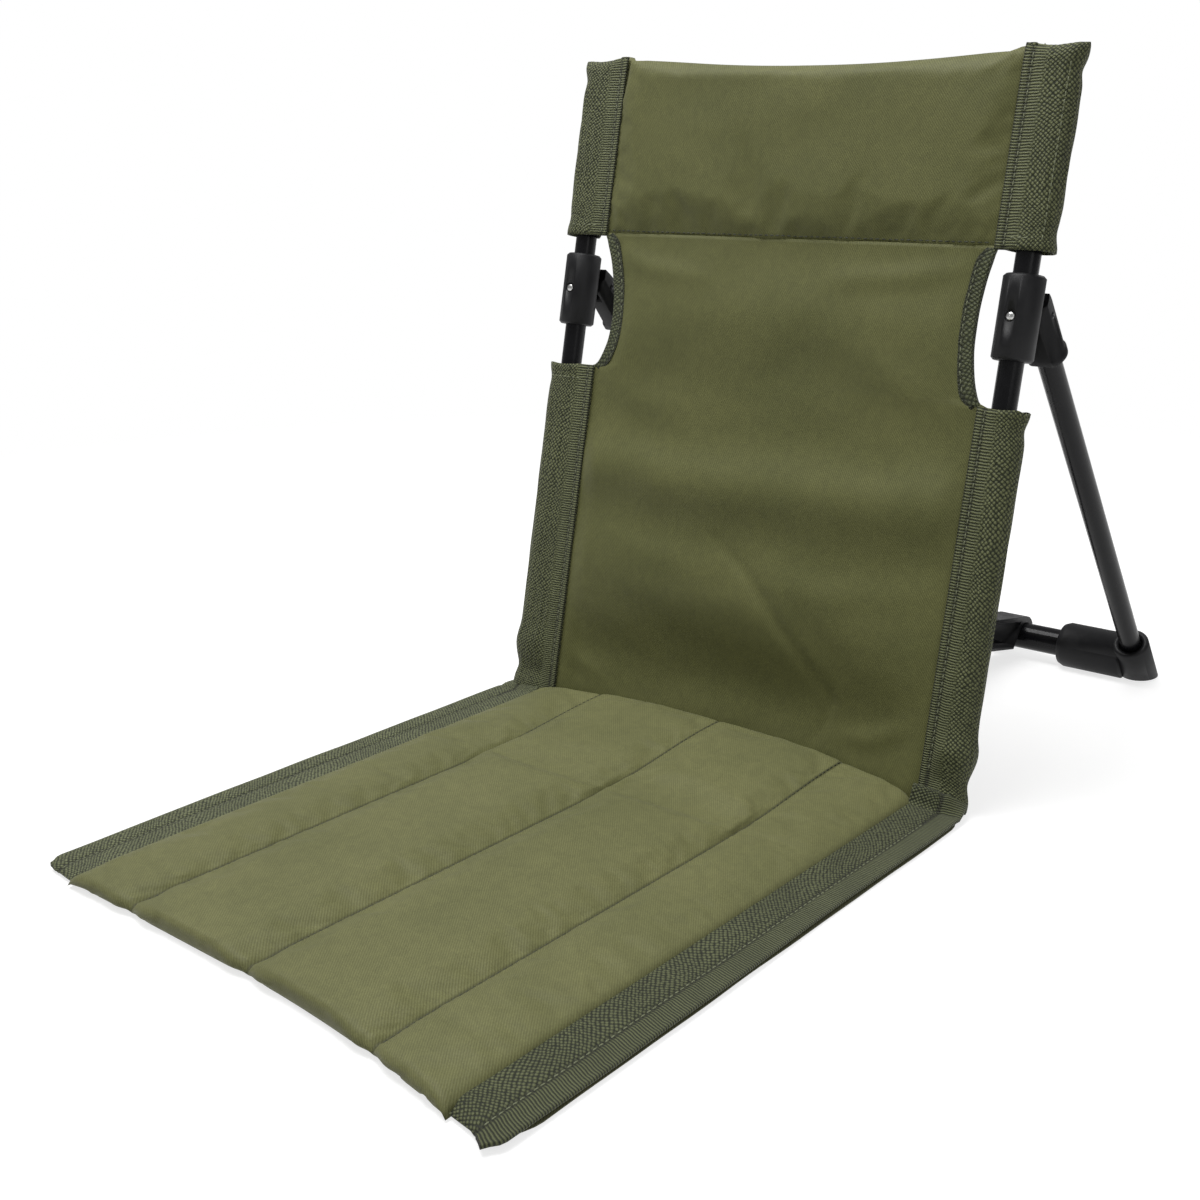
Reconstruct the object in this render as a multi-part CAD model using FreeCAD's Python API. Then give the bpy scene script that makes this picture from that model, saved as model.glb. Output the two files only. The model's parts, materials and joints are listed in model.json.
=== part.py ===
"""Folding floor chair: a padded cloth seat that lies on the ground, a cloth back on two steel
tubes, and a rear leg frame that folds in behind the back.  Millimetres and degrees.

Layout while modelling: X runs across the chair, +Y to the rear, +Z up, and Y is zero where the
axes of the back tubes meet the floor.  At the end every solid is moved so that the origin is
the middle of the chair's footprint on the floor.
Pieces of the back are drawn upright and then leaned by RECLINE: there Y is the distance behind
the tube axis and Z the distance up along the tube.  Pieces of the leg are drawn with the leg
straight down from its pivot and then swung back by LEG_LEAN.  Right-hand pieces are drawn and
mirrored for the left.
"""
import FreeCAD
import Part
import math
import os

V = FreeCAD.Vector
ACROSS = V(1, 0, 0)
REAR = V(0, 1, 0)
UP = V(0, 0, 1)

# Back tubes
RECLINE = 12.0            # lean of the back from the vertical
TUBE_OD = 16.0
TUBE_WALL = 1.2
TUBE_INSET = 17.5         # from the side of the seat to the tube's axis
TUBE_BOTTOM = 9.0         # lower end of a tube, measured along it from the floor
TUBE_TOP = 479.0
RIM_STEPS = 1             # chords in a quarter turn of a small rounded rim
CAP_THICKNESS = 3.0
CAP_ROUND = 2.4
SPIGOT_LENGTH = 12.0
SPIGOT_GAP = 0.05

# Cross tube low down between the back tubes, which carries the two hooks
CROSS_TUBE_OD = 16.0
CROSS_TUBE_WALL = 1.2
CROSS_TUBE_UP = 85.0
CROSS_TUBE_HOLE_GAP = 0.5

# Cloth of the back
WEBBING = 1.4             # one layer of the woven edging
SLEEVE_SLACK = 0.4        # between a tube and the sleeve round it
SLEEVE_SPARE = 6.7        # flat spare width outside the tube
SLEEVE_SLANT = 139.0      # where the rear layer leaves the tube for the seam
FLANGE_WIDTH = 6.5        # sewn double edge of a sleeve
SLEEVE_BELOW_BRACKET = 30.0
POCKET_ABOVE_TUBE = 8.0   # top of the pockets above the tubes' upper ends
POCKET_HEIGHT = 125.0
PANEL_THICKNESS = 3.0
PANEL_BOTTOM = 4.0
PANEL_EDGE_GAP = 0.5
CUTOUT_DEPTH = 16.0       # how far the side cut-outs bow in from the sleeves
BINDING_WIDTH = 10.0
BINDING = 1.0
HEADREST_CROWN = 3.5
HEADREST_CLOTH = 1.0
HEADREST_SAG = 8.0        # dip of the headrest's top edge
HEADREST_EDGE = 1.0       # below the top of the pockets
FOAM_GAP = 0.1

# Pivot brackets, their pins and rivets
BRACKET_WALL = 5.4
BRACKET_GAP = 0.1
BRACKET_LENGTH = 54.0
BRACKET_BELOW_POCKET = 14.0
BRACKET_RIM = 1.6         # rounding of the bracket's two ends
PIVOT_ABOVE_MIDDLE = 6.0  # of the pin above the middle of the bracket
PIN_OD = 5.0
PIN_GAP = 0.05
TONGUE_THICKNESS = 8.0
TONGUE_END = 6.6          # radius of the tongue round the pin
TONGUE_ROOT = 13.0        # height of the tongue above the pin where it leaves the bracket
TONGUE_GAP = 0.35
STOP_GAP = 0.4            # between the open leg's heel and the bracket
RIVET_OD = 4.8
RIVET_HEAD_OD = 6.4
RIVET_HEAD = 1.3
RIVET_STEPS = 2
RIVET_GAP = 0.05
RIVET_BULB_OD = 6.0
RIVET_BULB = 2.0
SPOT_FACE_OD = 7.6
SPOT_FACE_DEPTH = 1.2

# Leg frame
LEG_OD = 16.0
LEG_WALL = 1.2
LEG_LEAN = 38.6           # from the vertical, backwards
LEG_GAP = 0.1
SOCKET_FRONT_WALL = 2.1
SOCKET_LENGTH = 38.0      # pivot to the socket's mouth
SOCKET_RIM_OD = 26.4
SOCKET_RIM = 5.0
SOCKET_RIM_STEP = 0.8
SOCKET_BODY_OD = 24.0
SOCKET_SEAT = 13.0        # pivot to the leg tube's upper end
SOCKET_TIP_UP = 12.0      # heel tip above the pivot, along the back tube
SLOT_ROOM = 0.6           # between the tongue's round end and the slot
CROSSBAR_OD = 22.0
CROSSBAR_WALL = 1.5
CROSSBAR_GAP = 0.1
BARREL_OD = 28.0
BARREL_LENGTH = 44.0      # along the leg, from the floor
BARREL_RIM = 1.5
BARREL_MOUTH_GAP = 1.6
BARREL_MOUTH = 7.0
SOLE = 3.0                # least plastic under the leg tube
FOOT_SLEEVE_OD = 37.0     # round the end of the crossbar
FOOT_SLEEVE_REACH = 62.0  # inwards from the leg axis
FOOT_SLEEVE_ROUND = 6.0
FOOT_ROUND_STEPS = 2
FOOT_FLAT = 0.5           # how deep the floor cuts into the foot sleeve
BAR_STOP = 3.0            # plastic between the crossbar's end and the leg bore

# Hooks
HOOK_OFFSET = 75.0        # from the middle of the chair
HOOK_WIDTH = 24.0
HOOK_WEB = 7.0
HOOK_FLANGE = 4.0
HOOK_RIBS = 2
HOOK_RUN = 0.1            # radial clearance on the cross tube
HOOK_RING_WALL = 2.5
HOOK_GRIP_GAP = 0.5       # round the crossbar
HOOK_GRIP_WALL = 5.0
HOOK_FLARE = 26.0         # front wall of the grip, from the vertical
HOOK_TIP = -5.0           # angle where the rear lip ends
HOOK_JAW = 11.0           # depth of the front wall below the crossbar's axis
RING_GAP = 0.4            # between a hook's ring and the back panel
FOLD_GAP = 1.0            # between the folded leg and the cross tube

# Seat
SEAT_FRONT = 433.0        # front edge, forwards from the foot of the back
SEAT_WIDTH = 400.0
BORDER_WIDTH = 32.0
SIDE_CHANNEL = 61.0       # width of the outer foam channels
SEAM_HEIGHT = 5.0
CROWN = 12.5
SIDE_CROWN = 11.0
CLOTH = 1.0
SEAM_HALF = 1.5
FRONT_HEIGHT = 5.5
FRONT_ROUND = 16.0
BORDER_THICKNESS = 3.2
SEAT_GAP = 1.3            # between the seat's rear edge and the foot of the sleeves
GUSSET_RISE = 24.0        # height of the gathered cloth in the corner of the fold
GUSSET_LIFT = 1.0         # of the gathered cloth off the floor
GUSSET_GAP = 0.4
HINGE_ABOVE_CROWN = 1.0

# Worked out from the above
TUBE_X = SEAT_WIDTH / 2 - TUBE_INSET
PAD_X = SEAT_WIDTH / 2 - BORDER_WIDTH
SEAM_X = PAD_X - SIDE_CHANNEL
TUBE_R = TUBE_OD / 2
CROSS_R = CROSS_TUBE_OD / 2
LEG_R = LEG_OD / 2
BAR_R = CROSSBAR_OD / 2
PIN_R = PIN_OD / 2
SIN_RECLINE = math.sin(math.radians(RECLINE))
COS_RECLINE = math.cos(math.radians(RECLINE))
SIN_LEAN = math.sin(math.radians(LEG_LEAN))
COS_LEAN = math.cos(math.radians(LEG_LEAN))
BRACKET_R = TUBE_R + BRACKET_GAP + BRACKET_WALL
SLEEVE_R = TUBE_R + SLEEVE_SLACK + WEBBING
POCKET_TOP = TUBE_TOP + POCKET_ABOVE_TUBE
POCKET_BOTTOM = POCKET_TOP - POCKET_HEIGHT
BRACKET_HIGH = POCKET_BOTTOM - BRACKET_BELOW_POCKET
BRACKET_LOW = BRACKET_HIGH - BRACKET_LENGTH
BRACKET_MIDDLE = (BRACKET_LOW + BRACKET_HIGH) / 2
PIVOT_UP = BRACKET_MIDDLE + PIVOT_ABOVE_MIDDLE
SLEEVE_TOP = BRACKET_LOW - SLEEVE_BELOW_BRACKET
PANEL_FRONT = 2 * WEBBING - SLEEVE_R
PANEL_BACK = PANEL_FRONT + PANEL_THICKNESS
RING_R = CROSS_R + HOOK_RUN + HOOK_RING_WALL
CROSS_TUBE_BACK = PANEL_BACK + RING_GAP + RING_R
PIVOT_BEHIND_BRACKET = BRACKET_R + STOP_GAP + LEG_R + SOCKET_FRONT_WALL
PIVOT_BEHIND_CROSS_TUBE = CROSS_TUBE_BACK + CROSS_R + FOLD_GAP + LEG_R
PIVOT_BACK = max(PIVOT_BEHIND_BRACKET, PIVOT_BEHIND_CROSS_TUBE)
HEEL_R = PIVOT_BACK - BRACKET_R - STOP_GAP
FOLD_ANGLE = RECLINE + LEG_LEAN
CROSSBAR_Z = FOOT_SLEEVE_OD / 2 - FOOT_FLAT

BACK = FreeCAD.Placement(V(), FreeCAD.Rotation(ACROSS, -RECLINE))
PIVOT = BACK.multVec(V(0, PIVOT_BACK, PIVOT_UP))
LEG = FreeCAD.Placement(PIVOT, FreeCAD.Rotation(ACROSS, LEG_LEAN))
LEG_TO_BAR = (PIVOT.z - CROSSBAR_Z) / COS_LEAN
LEG_TO_FLOOR = PIVOT.z / COS_LEAN
LEG_END = LEG_TO_FLOOR - (SOLE + (LEG_R + LEG_GAP) * SIN_LEAN) / COS_LEAN
BAR = LEG.multVec(V(0, 0, -LEG_TO_BAR))
BAR_END = TUBE_X - LEG_R - LEG_GAP - BAR_STOP
CROSS = BACK.multVec(V(0, CROSS_TUBE_BACK, CROSS_TUBE_UP))
HOOK_REACH = (BAR - CROSS).Length
HOOK_SLOPE = math.degrees(math.atan2(BAR.z - CROSS.z, BAR.y - CROSS.y))
HOOK = FreeCAD.Placement(CROSS, FreeCAD.Rotation(ACROSS, HOOK_SLOPE))
SEAT_REAR = -SLEEVE_R / COS_RECLINE - SEAT_GAP
SEAT_HINGE = V(0, SEAT_REAR, CROWN + HINGE_ABOVE_CROWN)
FOOT_REAR = LEG.multVec(V(0, 0, -LEG_TO_FLOOR)).y + BARREL_OD / 2 / COS_LEAN
ORIGIN_SHIFT = V(0, (SEAT_FRONT - FOOT_REAR) / 2, 0)
FAR = 2 * (SEAT_FRONT + FOOT_REAR)


def rod(radius, start, direction, length):
    """Solid cylinder."""
    return Part.makeCylinder(radius, length, start, direction)


def tube(outer_r, wall, start, direction, length):
    """Round tube."""
    return rod(outer_r, start, direction, length).cut(rod(outer_r - wall, start, direction, length))


def box_between(low, high):
    """Box from its lowest to its highest corner."""
    size = high - low
    return Part.makeBox(size.x, size.y, size.z, low)


def run(*points):
    """Straight edges from point to point."""
    return [Part.LineSegment(a, b).toShape() for a, b in zip(points, points[1:])]


def arc(start, middle, end):
    """One arc through three points, as a list of one edge."""
    return [Part.Arc(start, middle, end).toShape()]


def bend(start, leave, end):
    """One arc that leaves its start in a given direction and arrives at its end."""
    chord = end - start
    aside = leave - chord * (leave.dot(chord) / chord.dot(chord))
    height = chord.Length / 2 * math.tan(leave.getAngle(chord) / 2)
    return arc(start, start + chord * 0.5 + aside.normalize() * height, end)


def eased(start, leave, end, steps=RIM_STEPS):
    """The same bend in a few straight chords, for small rims."""
    return run(*bend(start, leave, end)[0].discretize(steps + 1))


def slab(edges, push):
    """Solid from the edges of a flat closed outline."""
    return Part.Face(Part.Wire(edges)).extrude(push)


def turned(edges, axis_start, axis):
    """Solid of revolution from the edges of a closed profile."""
    return Part.Face(Part.Wire(edges)).revolve(axis_start, axis, 360)


def polar(radius, angle, centre=V()):
    """Point in the YZ plane, with the angle counted from +Y towards +Z."""
    turn = math.radians(angle)
    return centre + V(0, radius * math.cos(turn), radius * math.sin(turn))


def moved(shape, placement):
    """Copy of a shape in a new place."""
    copy = shape.copy()
    copy.Placement = placement.multiply(copy.Placement)
    return copy


def above_floor(shape):
    """What a placed shape has above the floor."""
    return shape.cut(box_between(V(-FAR, -FAR, -FAR), V(FAR, FAR, 0)))


def mirrored(shape):
    """The left-hand twin of a right-hand piece."""
    return shape.mirror(V(), ACROSS)


def rivet_hole():
    """Hole for the bracket rivet, through the front of the bracket and of the tube."""
    start = V(TUBE_X, -BRACKET_R - RIVET_HEAD, BRACKET_MIDDLE)
    return rod(RIVET_OD / 2 + RIVET_GAP, start, REAR, BRACKET_R + RIVET_HEAD)


def back_tube():
    """Right back tube."""
    length = TUBE_TOP - TUBE_BOTTOM
    return tube(TUBE_R, TUBE_WALL, V(TUBE_X, 0, TUBE_BOTTOM), UP, length).cut(rivet_hole())


def tube_top_cap():
    """Round-edged plug in the upper end of a back tube."""
    spigot_r = TUBE_R - TUBE_WALL - SPIGOT_GAP
    high = TUBE_TOP + CAP_THICKNESS
    low = TUBE_TOP - SPIGOT_LENGTH

    def lathe(radius, height):
        return V(TUBE_X + radius, 0, height)

    flat_end = lathe(TUBE_R - CAP_ROUND, high)
    side = lathe(TUBE_R, high - CAP_ROUND)
    edges = run(lathe(0, low), lathe(0, high), flat_end) + eased(flat_end, ACROSS, side)
    edges += run(side, lathe(TUBE_R, TUBE_TOP), lathe(spigot_r, TUBE_TOP), lathe(spigot_r, low),
                 lathe(0, low))
    return turned(edges, V(TUBE_X, 0, 0), UP)


def tube_bottom_cap():
    """Plug in the lower end of a back tube, cut flat where it stands on the floor."""
    foot = rod(TUBE_R, V(TUBE_X, 0, -TUBE_R), UP, TUBE_R + TUBE_BOTTOM)
    spigot_r = TUBE_R - TUBE_WALL - SPIGOT_GAP
    spigot = rod(spigot_r, V(TUBE_X, 0, 0), UP, TUBE_BOTTOM + SPIGOT_LENGTH)
    return foot.fuse(spigot).removeSplitter()


def lower_cross_tube():
    """Cross tube, coped to fit against the two back tubes."""
    body = tube(CROSS_R, CROSS_TUBE_WALL, V(-TUBE_X, CROSS_TUBE_BACK, CROSS_TUBE_UP), ACROSS,
                2 * TUBE_X)
    for x in (-TUBE_X, TUBE_X):
        body = body.cut(rod(TUBE_R, V(x, 0, 0), UP, TUBE_TOP))
    return body


def sleeve_edges(radius, seam):
    """Round stretch of a sleeve's section, from its front layer to its rear layer's seam."""
    far = V(TUBE_X + SLEEVE_SPARE, 0, 0)
    axis = V(TUBE_X, 0, 0)
    slant = math.radians(SLEEVE_SLANT)
    bend = (math.pi / 2 + slant) / 2
    leave = axis + V(radius * math.cos(slant), radius * math.sin(slant), 0)
    middle = axis + V(radius * math.cos(bend), radius * math.sin(bend), 0)
    over = axis + V(0, radius, 0)
    neck = leave + V(-math.sin(slant), math.cos(slant), 0) * ((leave.y - seam) / -math.cos(slant))
    edges = arc(far - V(0, radius, 0), far + V(radius, 0, 0), far + V(0, radius, 0))
    edges += run(far + V(0, radius, 0), over) + arc(over, middle, leave) + run(leave, neck)
    return edges, neck


SLEEVE_NECK = sleeve_edges(SLEEVE_R, PANEL_FRONT)[1]
FLANGE_X = SLEEVE_NECK.x - FLANGE_WIDTH
PANEL_X = SLEEVE_NECK.x - PANEL_EDGE_GAP


def sleeve_outside():
    """Outline of a sleeve's section with its sewn flange."""
    edges, neck = sleeve_edges(SLEEVE_R, PANEL_FRONT)
    corner = V(FLANGE_X, -SLEEVE_R, 0)
    edges += run(neck, V(FLANGE_X, PANEL_FRONT, 0), corner)
    return edges + run(corner, V(TUBE_X + SLEEVE_SPARE, -SLEEVE_R, 0))


def sleeve_inside():
    """Outline of the space inside a sleeve."""
    radius = SLEEVE_R - WEBBING
    edges, neck = sleeve_edges(radius, -radius)
    return edges + run(neck, V(TUBE_X + SLEEVE_SPARE, -radius, 0))


def head_pocket():
    """Right pocket of the headrest, closed at the top, over the end of the tube."""
    height = POCKET_TOP - POCKET_BOTTOM
    body = slab(sleeve_outside(), V(0, 0, height)).cut(slab(sleeve_inside(), V(0, 0, height - WEBBING)))
    return body.translated(V(0, 0, POCKET_BOTTOM))


def back_sleeve():
    """Right sleeve round the lower back tube, with the hole that the cross tube passes through."""
    start = V(0, 0, -SLEEVE_R)
    height = V(0, 0, SLEEVE_TOP + SLEEVE_R)
    body = slab(sleeve_outside(), height).cut(slab(sleeve_inside(), height)).translated(start)
    hole_start = V(FLANGE_X, CROSS_TUBE_BACK, CROSS_TUBE_UP)
    hole = rod(CROSS_R + CROSS_TUBE_HOLE_GAP, hole_start, ACROSS, TUBE_X - FLANGE_X)
    return above_floor(moved(body.cut(hole), BACK))


def cutout(growth):
    """Round cutter of the right cut-out beside the bracket, made larger by growth."""
    chord = (POCKET_BOTTOM - SLEEVE_TOP) / 2
    radius = (chord ** 2 + CUTOUT_DEPTH ** 2) / (2 * CUTOUT_DEPTH)
    centre = V(FLANGE_X - CUTOUT_DEPTH + radius, -SLEEVE_R, (POCKET_BOTTOM + SLEEVE_TOP) / 2)
    return rod(radius + growth, centre, REAR, 2 * SLEEVE_R)


def back_panel():
    """Cloth of the back between the sleeves."""
    body = box_between(V(-PANEL_X, PANEL_FRONT, PANEL_BOTTOM), V(PANEL_X, PANEL_BACK, POCKET_BOTTOM))
    return body.cut(cutout(0)).cut(mirrored(cutout(0)))


def cutout_binding():
    """Tape folded over the edge of the right cut-out."""
    band = cutout(BINDING_WIDTH).cut(cutout(-BINDING))
    reach = box_between(V(0, PANEL_FRONT - BINDING, SLEEVE_TOP),
                        V(FLANGE_X, PANEL_BACK + BINDING, POCKET_BOTTOM))
    return band.common(reach).cut(back_panel())


def headrest_lens(inset, floor):
    """Padded block of the headrest, crowned front and rear, with a dipping top edge."""
    side = FLANGE_X - inset
    front = PANEL_FRONT + inset
    back = PANEL_BACK - inset
    top = POCKET_TOP - HEADREST_EDGE - inset
    section = arc(V(-side, front, floor), V(0, front - HEADREST_CROWN, floor), V(side, front, floor))
    section += run(V(side, front, floor), V(side, back, floor))
    section += arc(V(side, back, floor), V(0, back + HEADREST_CROWN, floor), V(-side, back, floor))
    section += run(V(-side, back, floor), V(-side, front, floor))
    near = front - 2 * HEADREST_CROWN
    left = V(-side, near, top)
    right = V(side, near, top)
    view = arc(left, V(0, near, top - HEADREST_SAG), right)
    view += run(right, V(side, near, floor), V(-side, near, floor), left)
    through = V(0, 2 * (back - near), 0)
    return slab(section, V(0, 0, top - floor)).common(slab(view, through))


def headrest_cover():
    """Cloth cover of the headrest, with the side edges that the pockets are sewn to."""
    body = headrest_lens(0, POCKET_BOTTOM)
    top = POCKET_TOP - HEADREST_EDGE
    tab = box_between(V(FLANGE_X, PANEL_FRONT, POCKET_BOTTOM), V(PANEL_X, PANEL_BACK, top))
    body = body.fuse([tab, mirrored(tab)])
    return body.cut(headrest_lens(HEADREST_CLOTH, POCKET_BOTTOM + HEADREST_CLOTH))


def headrest_foam():
    """Thin foam in the headrest, standing on the bottom seam of the cover."""
    return headrest_lens(HEADREST_CLOTH + FOAM_GAP, POCKET_BOTTOM + HEADREST_CLOTH)


def pivot_bracket():
    """Right moulded bracket: a sleeve on the tube with a tongue behind it for the leg's pin."""
    bore_r = TUBE_R + BRACKET_GAP

    def rim_point(radius, height):
        return V(TUBE_X + radius, 0, height)

    waist = BRACKET_R - BRACKET_RIM
    low_side = rim_point(BRACKET_R, BRACKET_LOW + BRACKET_RIM)
    high_side = rim_point(BRACKET_R, BRACKET_HIGH - BRACKET_RIM)
    profile = run(rim_point(bore_r, BRACKET_LOW), rim_point(waist, BRACKET_LOW))
    profile += eased(rim_point(waist, BRACKET_LOW), ACROSS, low_side)
    profile += run(low_side, high_side) + eased(high_side, UP, rim_point(waist, BRACKET_HIGH))
    profile += run(rim_point(waist, BRACKET_HIGH), rim_point(bore_r, BRACKET_HIGH),
                   rim_point(bore_r, BRACKET_LOW))
    body = turned(profile, V(TUBE_X, 0, 0), UP).fuse(bracket_tongue()).removeSplitter()
    spot = V(TUBE_X, -BRACKET_R - SPOT_FACE_DEPTH, BRACKET_MIDDLE)
    body = body.cut(rod(SPOT_FACE_OD / 2, spot, REAR, 2 * SPOT_FACE_DEPTH)).cut(rivet_hole())
    pin_start = V(TUBE_X - TONGUE_THICKNESS, PIVOT_BACK, PIVOT_UP)
    return body.cut(rod(PIN_R + PIN_GAP, pin_start, ACROSS, 2 * TONGUE_THICKNESS))


def bracket_tongue():
    """Tongue behind the bracket, round at the pin and straight along its lower edge."""
    x = TUBE_X - TONGUE_THICKNESS / 2
    root = BRACKET_R - BRACKET_WALL / 2
    low_root = V(x, root, PIVOT_UP - TONGUE_END)
    high_root = V(x, root, PIVOT_UP + TONGUE_ROOT)
    low_end = V(x, PIVOT_BACK, PIVOT_UP - TONGUE_END)
    high_end = V(x, PIVOT_BACK, PIVOT_UP + TONGUE_END)
    edges = run(high_end, high_root, low_root, low_end)
    edges += arc(low_end, V(x, PIVOT_BACK + TONGUE_END, PIVOT_UP), high_end)
    return slab(edges, V(TONGUE_THICKNESS, 0, 0))


def bracket_rivet():
    """Right blind rivet, seated on the bracket's spot face and upset inside the tube."""
    seat = -(BRACKET_R - SPOT_FACE_DEPTH)
    inner = TUBE_R - TUBE_WALL
    bulb = -math.sqrt(inner ** 2 - (RIVET_BULB_OD / 2) ** 2)

    def spot(radius, depth):
        return V(TUBE_X + radius, depth, BRACKET_MIDDLE)

    crown = spot(0, seat - RIVET_HEAD)
    edges = eased(crown, ACROSS, spot(RIVET_HEAD_OD / 2, seat), RIVET_STEPS)
    edges += run(spot(RIVET_HEAD_OD / 2, seat), spot(RIVET_OD / 2, seat), spot(RIVET_OD / 2, bulb),
                 spot(RIVET_BULB_OD / 2, bulb), spot(RIVET_BULB_OD / 2, bulb + RIVET_BULB),
                 spot(0, bulb + RIVET_BULB), crown)
    return turned(edges, spot(0, 0), REAR)


def pivot_pin():
    """Right hinge pin, in the bracket's tongue and the two cheeks of the leg socket."""
    start = V(TUBE_X - SOCKET_BODY_OD / 2, PIVOT_BACK, PIVOT_UP)
    return rod(PIN_R, start, ACROSS, SOCKET_BODY_OD)


def leg_tube():
    """Right leg tube, from its socket to the foot."""
    return tube(LEG_R, LEG_WALL, V(TUBE_X, 0, -LEG_END), UP, LEG_END - SOCKET_SEAT)


def leg_socket():
    """Right leg socket: a forked cup whose heel meets the bracket when the leg is open."""
    rim_r = SOCKET_RIM_OD / 2
    mouth = -SOCKET_LENGTH
    toward_bracket = polar(1, 180 - FOLD_ANGLE)
    along_bracket = polar(1, 90 - FOLD_ANGLE)
    heel = toward_bracket * HEEL_R
    tip = heel + along_bracket * SOCKET_TIP_UP
    high = tip.z + HEEL_R

    def lathe(radius, height):
        return V(TUBE_X + radius, 0, height)

    cup = run(lathe(0, high), lathe(0, mouth), lathe(rim_r - SOCKET_RIM_STEP, mouth),
              lathe(rim_r, mouth + SOCKET_RIM_STEP), lathe(rim_r, mouth + SOCKET_RIM),
              lathe(SOCKET_BODY_OD / 2, mouth + SOCKET_RIM), lathe(SOCKET_BODY_OD / 2, high),
              lathe(0, high))
    body = turned(cup, V(TUBE_X, 0, 0), UP)
    side = V(TUBE_X - rim_r, 0, 0)
    front = V(0, -HEEL_R, 0)
    back = V(0, rim_r, 0)
    edges = run(front + V(0, 0, mouth), front)
    edges += arc(front, polar(HEEL_R, 180 - FOLD_ANGLE / 2), heel)
    edges += run(heel, tip, back - V(0, 0, SOCKET_SEAT), back + V(0, 0, mouth), front + V(0, 0, mouth))
    body = body.common(slab(edges, V(SOCKET_RIM_OD, 0, 0)).translated(side))
    slot_half = TONGUE_THICKNESS / 2 + TONGUE_GAP
    slot_room = TONGUE_END + SLOT_ROOM
    slot = box_between(V(TUBE_X - slot_half, -rim_r, -slot_room), V(TUBE_X + slot_half, slot_room, high))
    bore = rod(LEG_R + LEG_GAP, V(TUBE_X, 0, mouth), UP, SOCKET_LENGTH - SOCKET_SEAT)
    pin_bore = rod(PIN_R + PIN_GAP, V(TUBE_X - rim_r, 0, 0), ACROSS, SOCKET_RIM_OD)
    return body.cut(slot).cut(bore).cut(pin_bore)


def floor_crossbar():
    """Bar along the floor between the two feet."""
    return tube(BAR_R, CROSSBAR_WALL, V(-BAR_END, BAR.y, BAR.z), ACROSS, 2 * BAR_END)


def foot_corner():
    """Right moulded foot: a barrel round the leg and a sleeve round the crossbar's end."""
    barrel_r = BARREL_OD / 2
    mouth = BARREL_LENGTH - LEG_TO_FLOOR
    deep = -LEG_TO_FLOOR - BARREL_OD

    def lathe(radius, height):
        return V(TUBE_X + radius, 0, height)

    rim_start = lathe(barrel_r, mouth - BARREL_RIM)
    rim_end = lathe(barrel_r - BARREL_RIM, mouth)
    profile = run(rim_end, lathe(0, mouth), lathe(0, deep), lathe(barrel_r, deep), rim_start)
    profile += eased(rim_start, UP, rim_end)
    barrel = moved(turned(profile, V(TUBE_X, 0, 0), UP), LEG)
    leg_bore = rod(LEG_R + LEG_GAP, V(TUBE_X, 0, -LEG_END), UP, LEG_END)
    clearing = rod(LEG_R + BARREL_MOUTH_GAP, V(TUBE_X, 0, mouth - BARREL_MOUTH), UP, BARREL_LENGTH)
    bar_bore = rod(BAR_R + CROSSBAR_GAP, V(0, BAR.y, BAR.z), ACROSS, BAR_END)
    body = barrel.fuse(foot_sleeve()).cut(moved(leg_bore.fuse(clearing), LEG)).cut(bar_bore)
    return above_floor(body)


def foot_sleeve():
    """Sleeve of the right foot, with a rounded inner end and a flat shoulder at the barrel."""
    inner = TUBE_X - FOOT_SLEEVE_REACH
    shoulder = BAR_END + BAR_STOP
    sleeve_r = FOOT_SLEEVE_OD / 2

    def lathe(x, radius):
        return V(x, BAR.y, BAR.z + radius)

    round_start = lathe(inner, sleeve_r - FOOT_SLEEVE_ROUND)
    round_end = lathe(inner + FOOT_SLEEVE_ROUND, sleeve_r)
    profile = eased(round_start, UP, round_end, FOOT_ROUND_STEPS)
    profile += run(round_end, lathe(shoulder, sleeve_r), lathe(shoulder, 0), lathe(inner, 0), round_start)
    return turned(profile, BAR, ACROSS)


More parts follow.
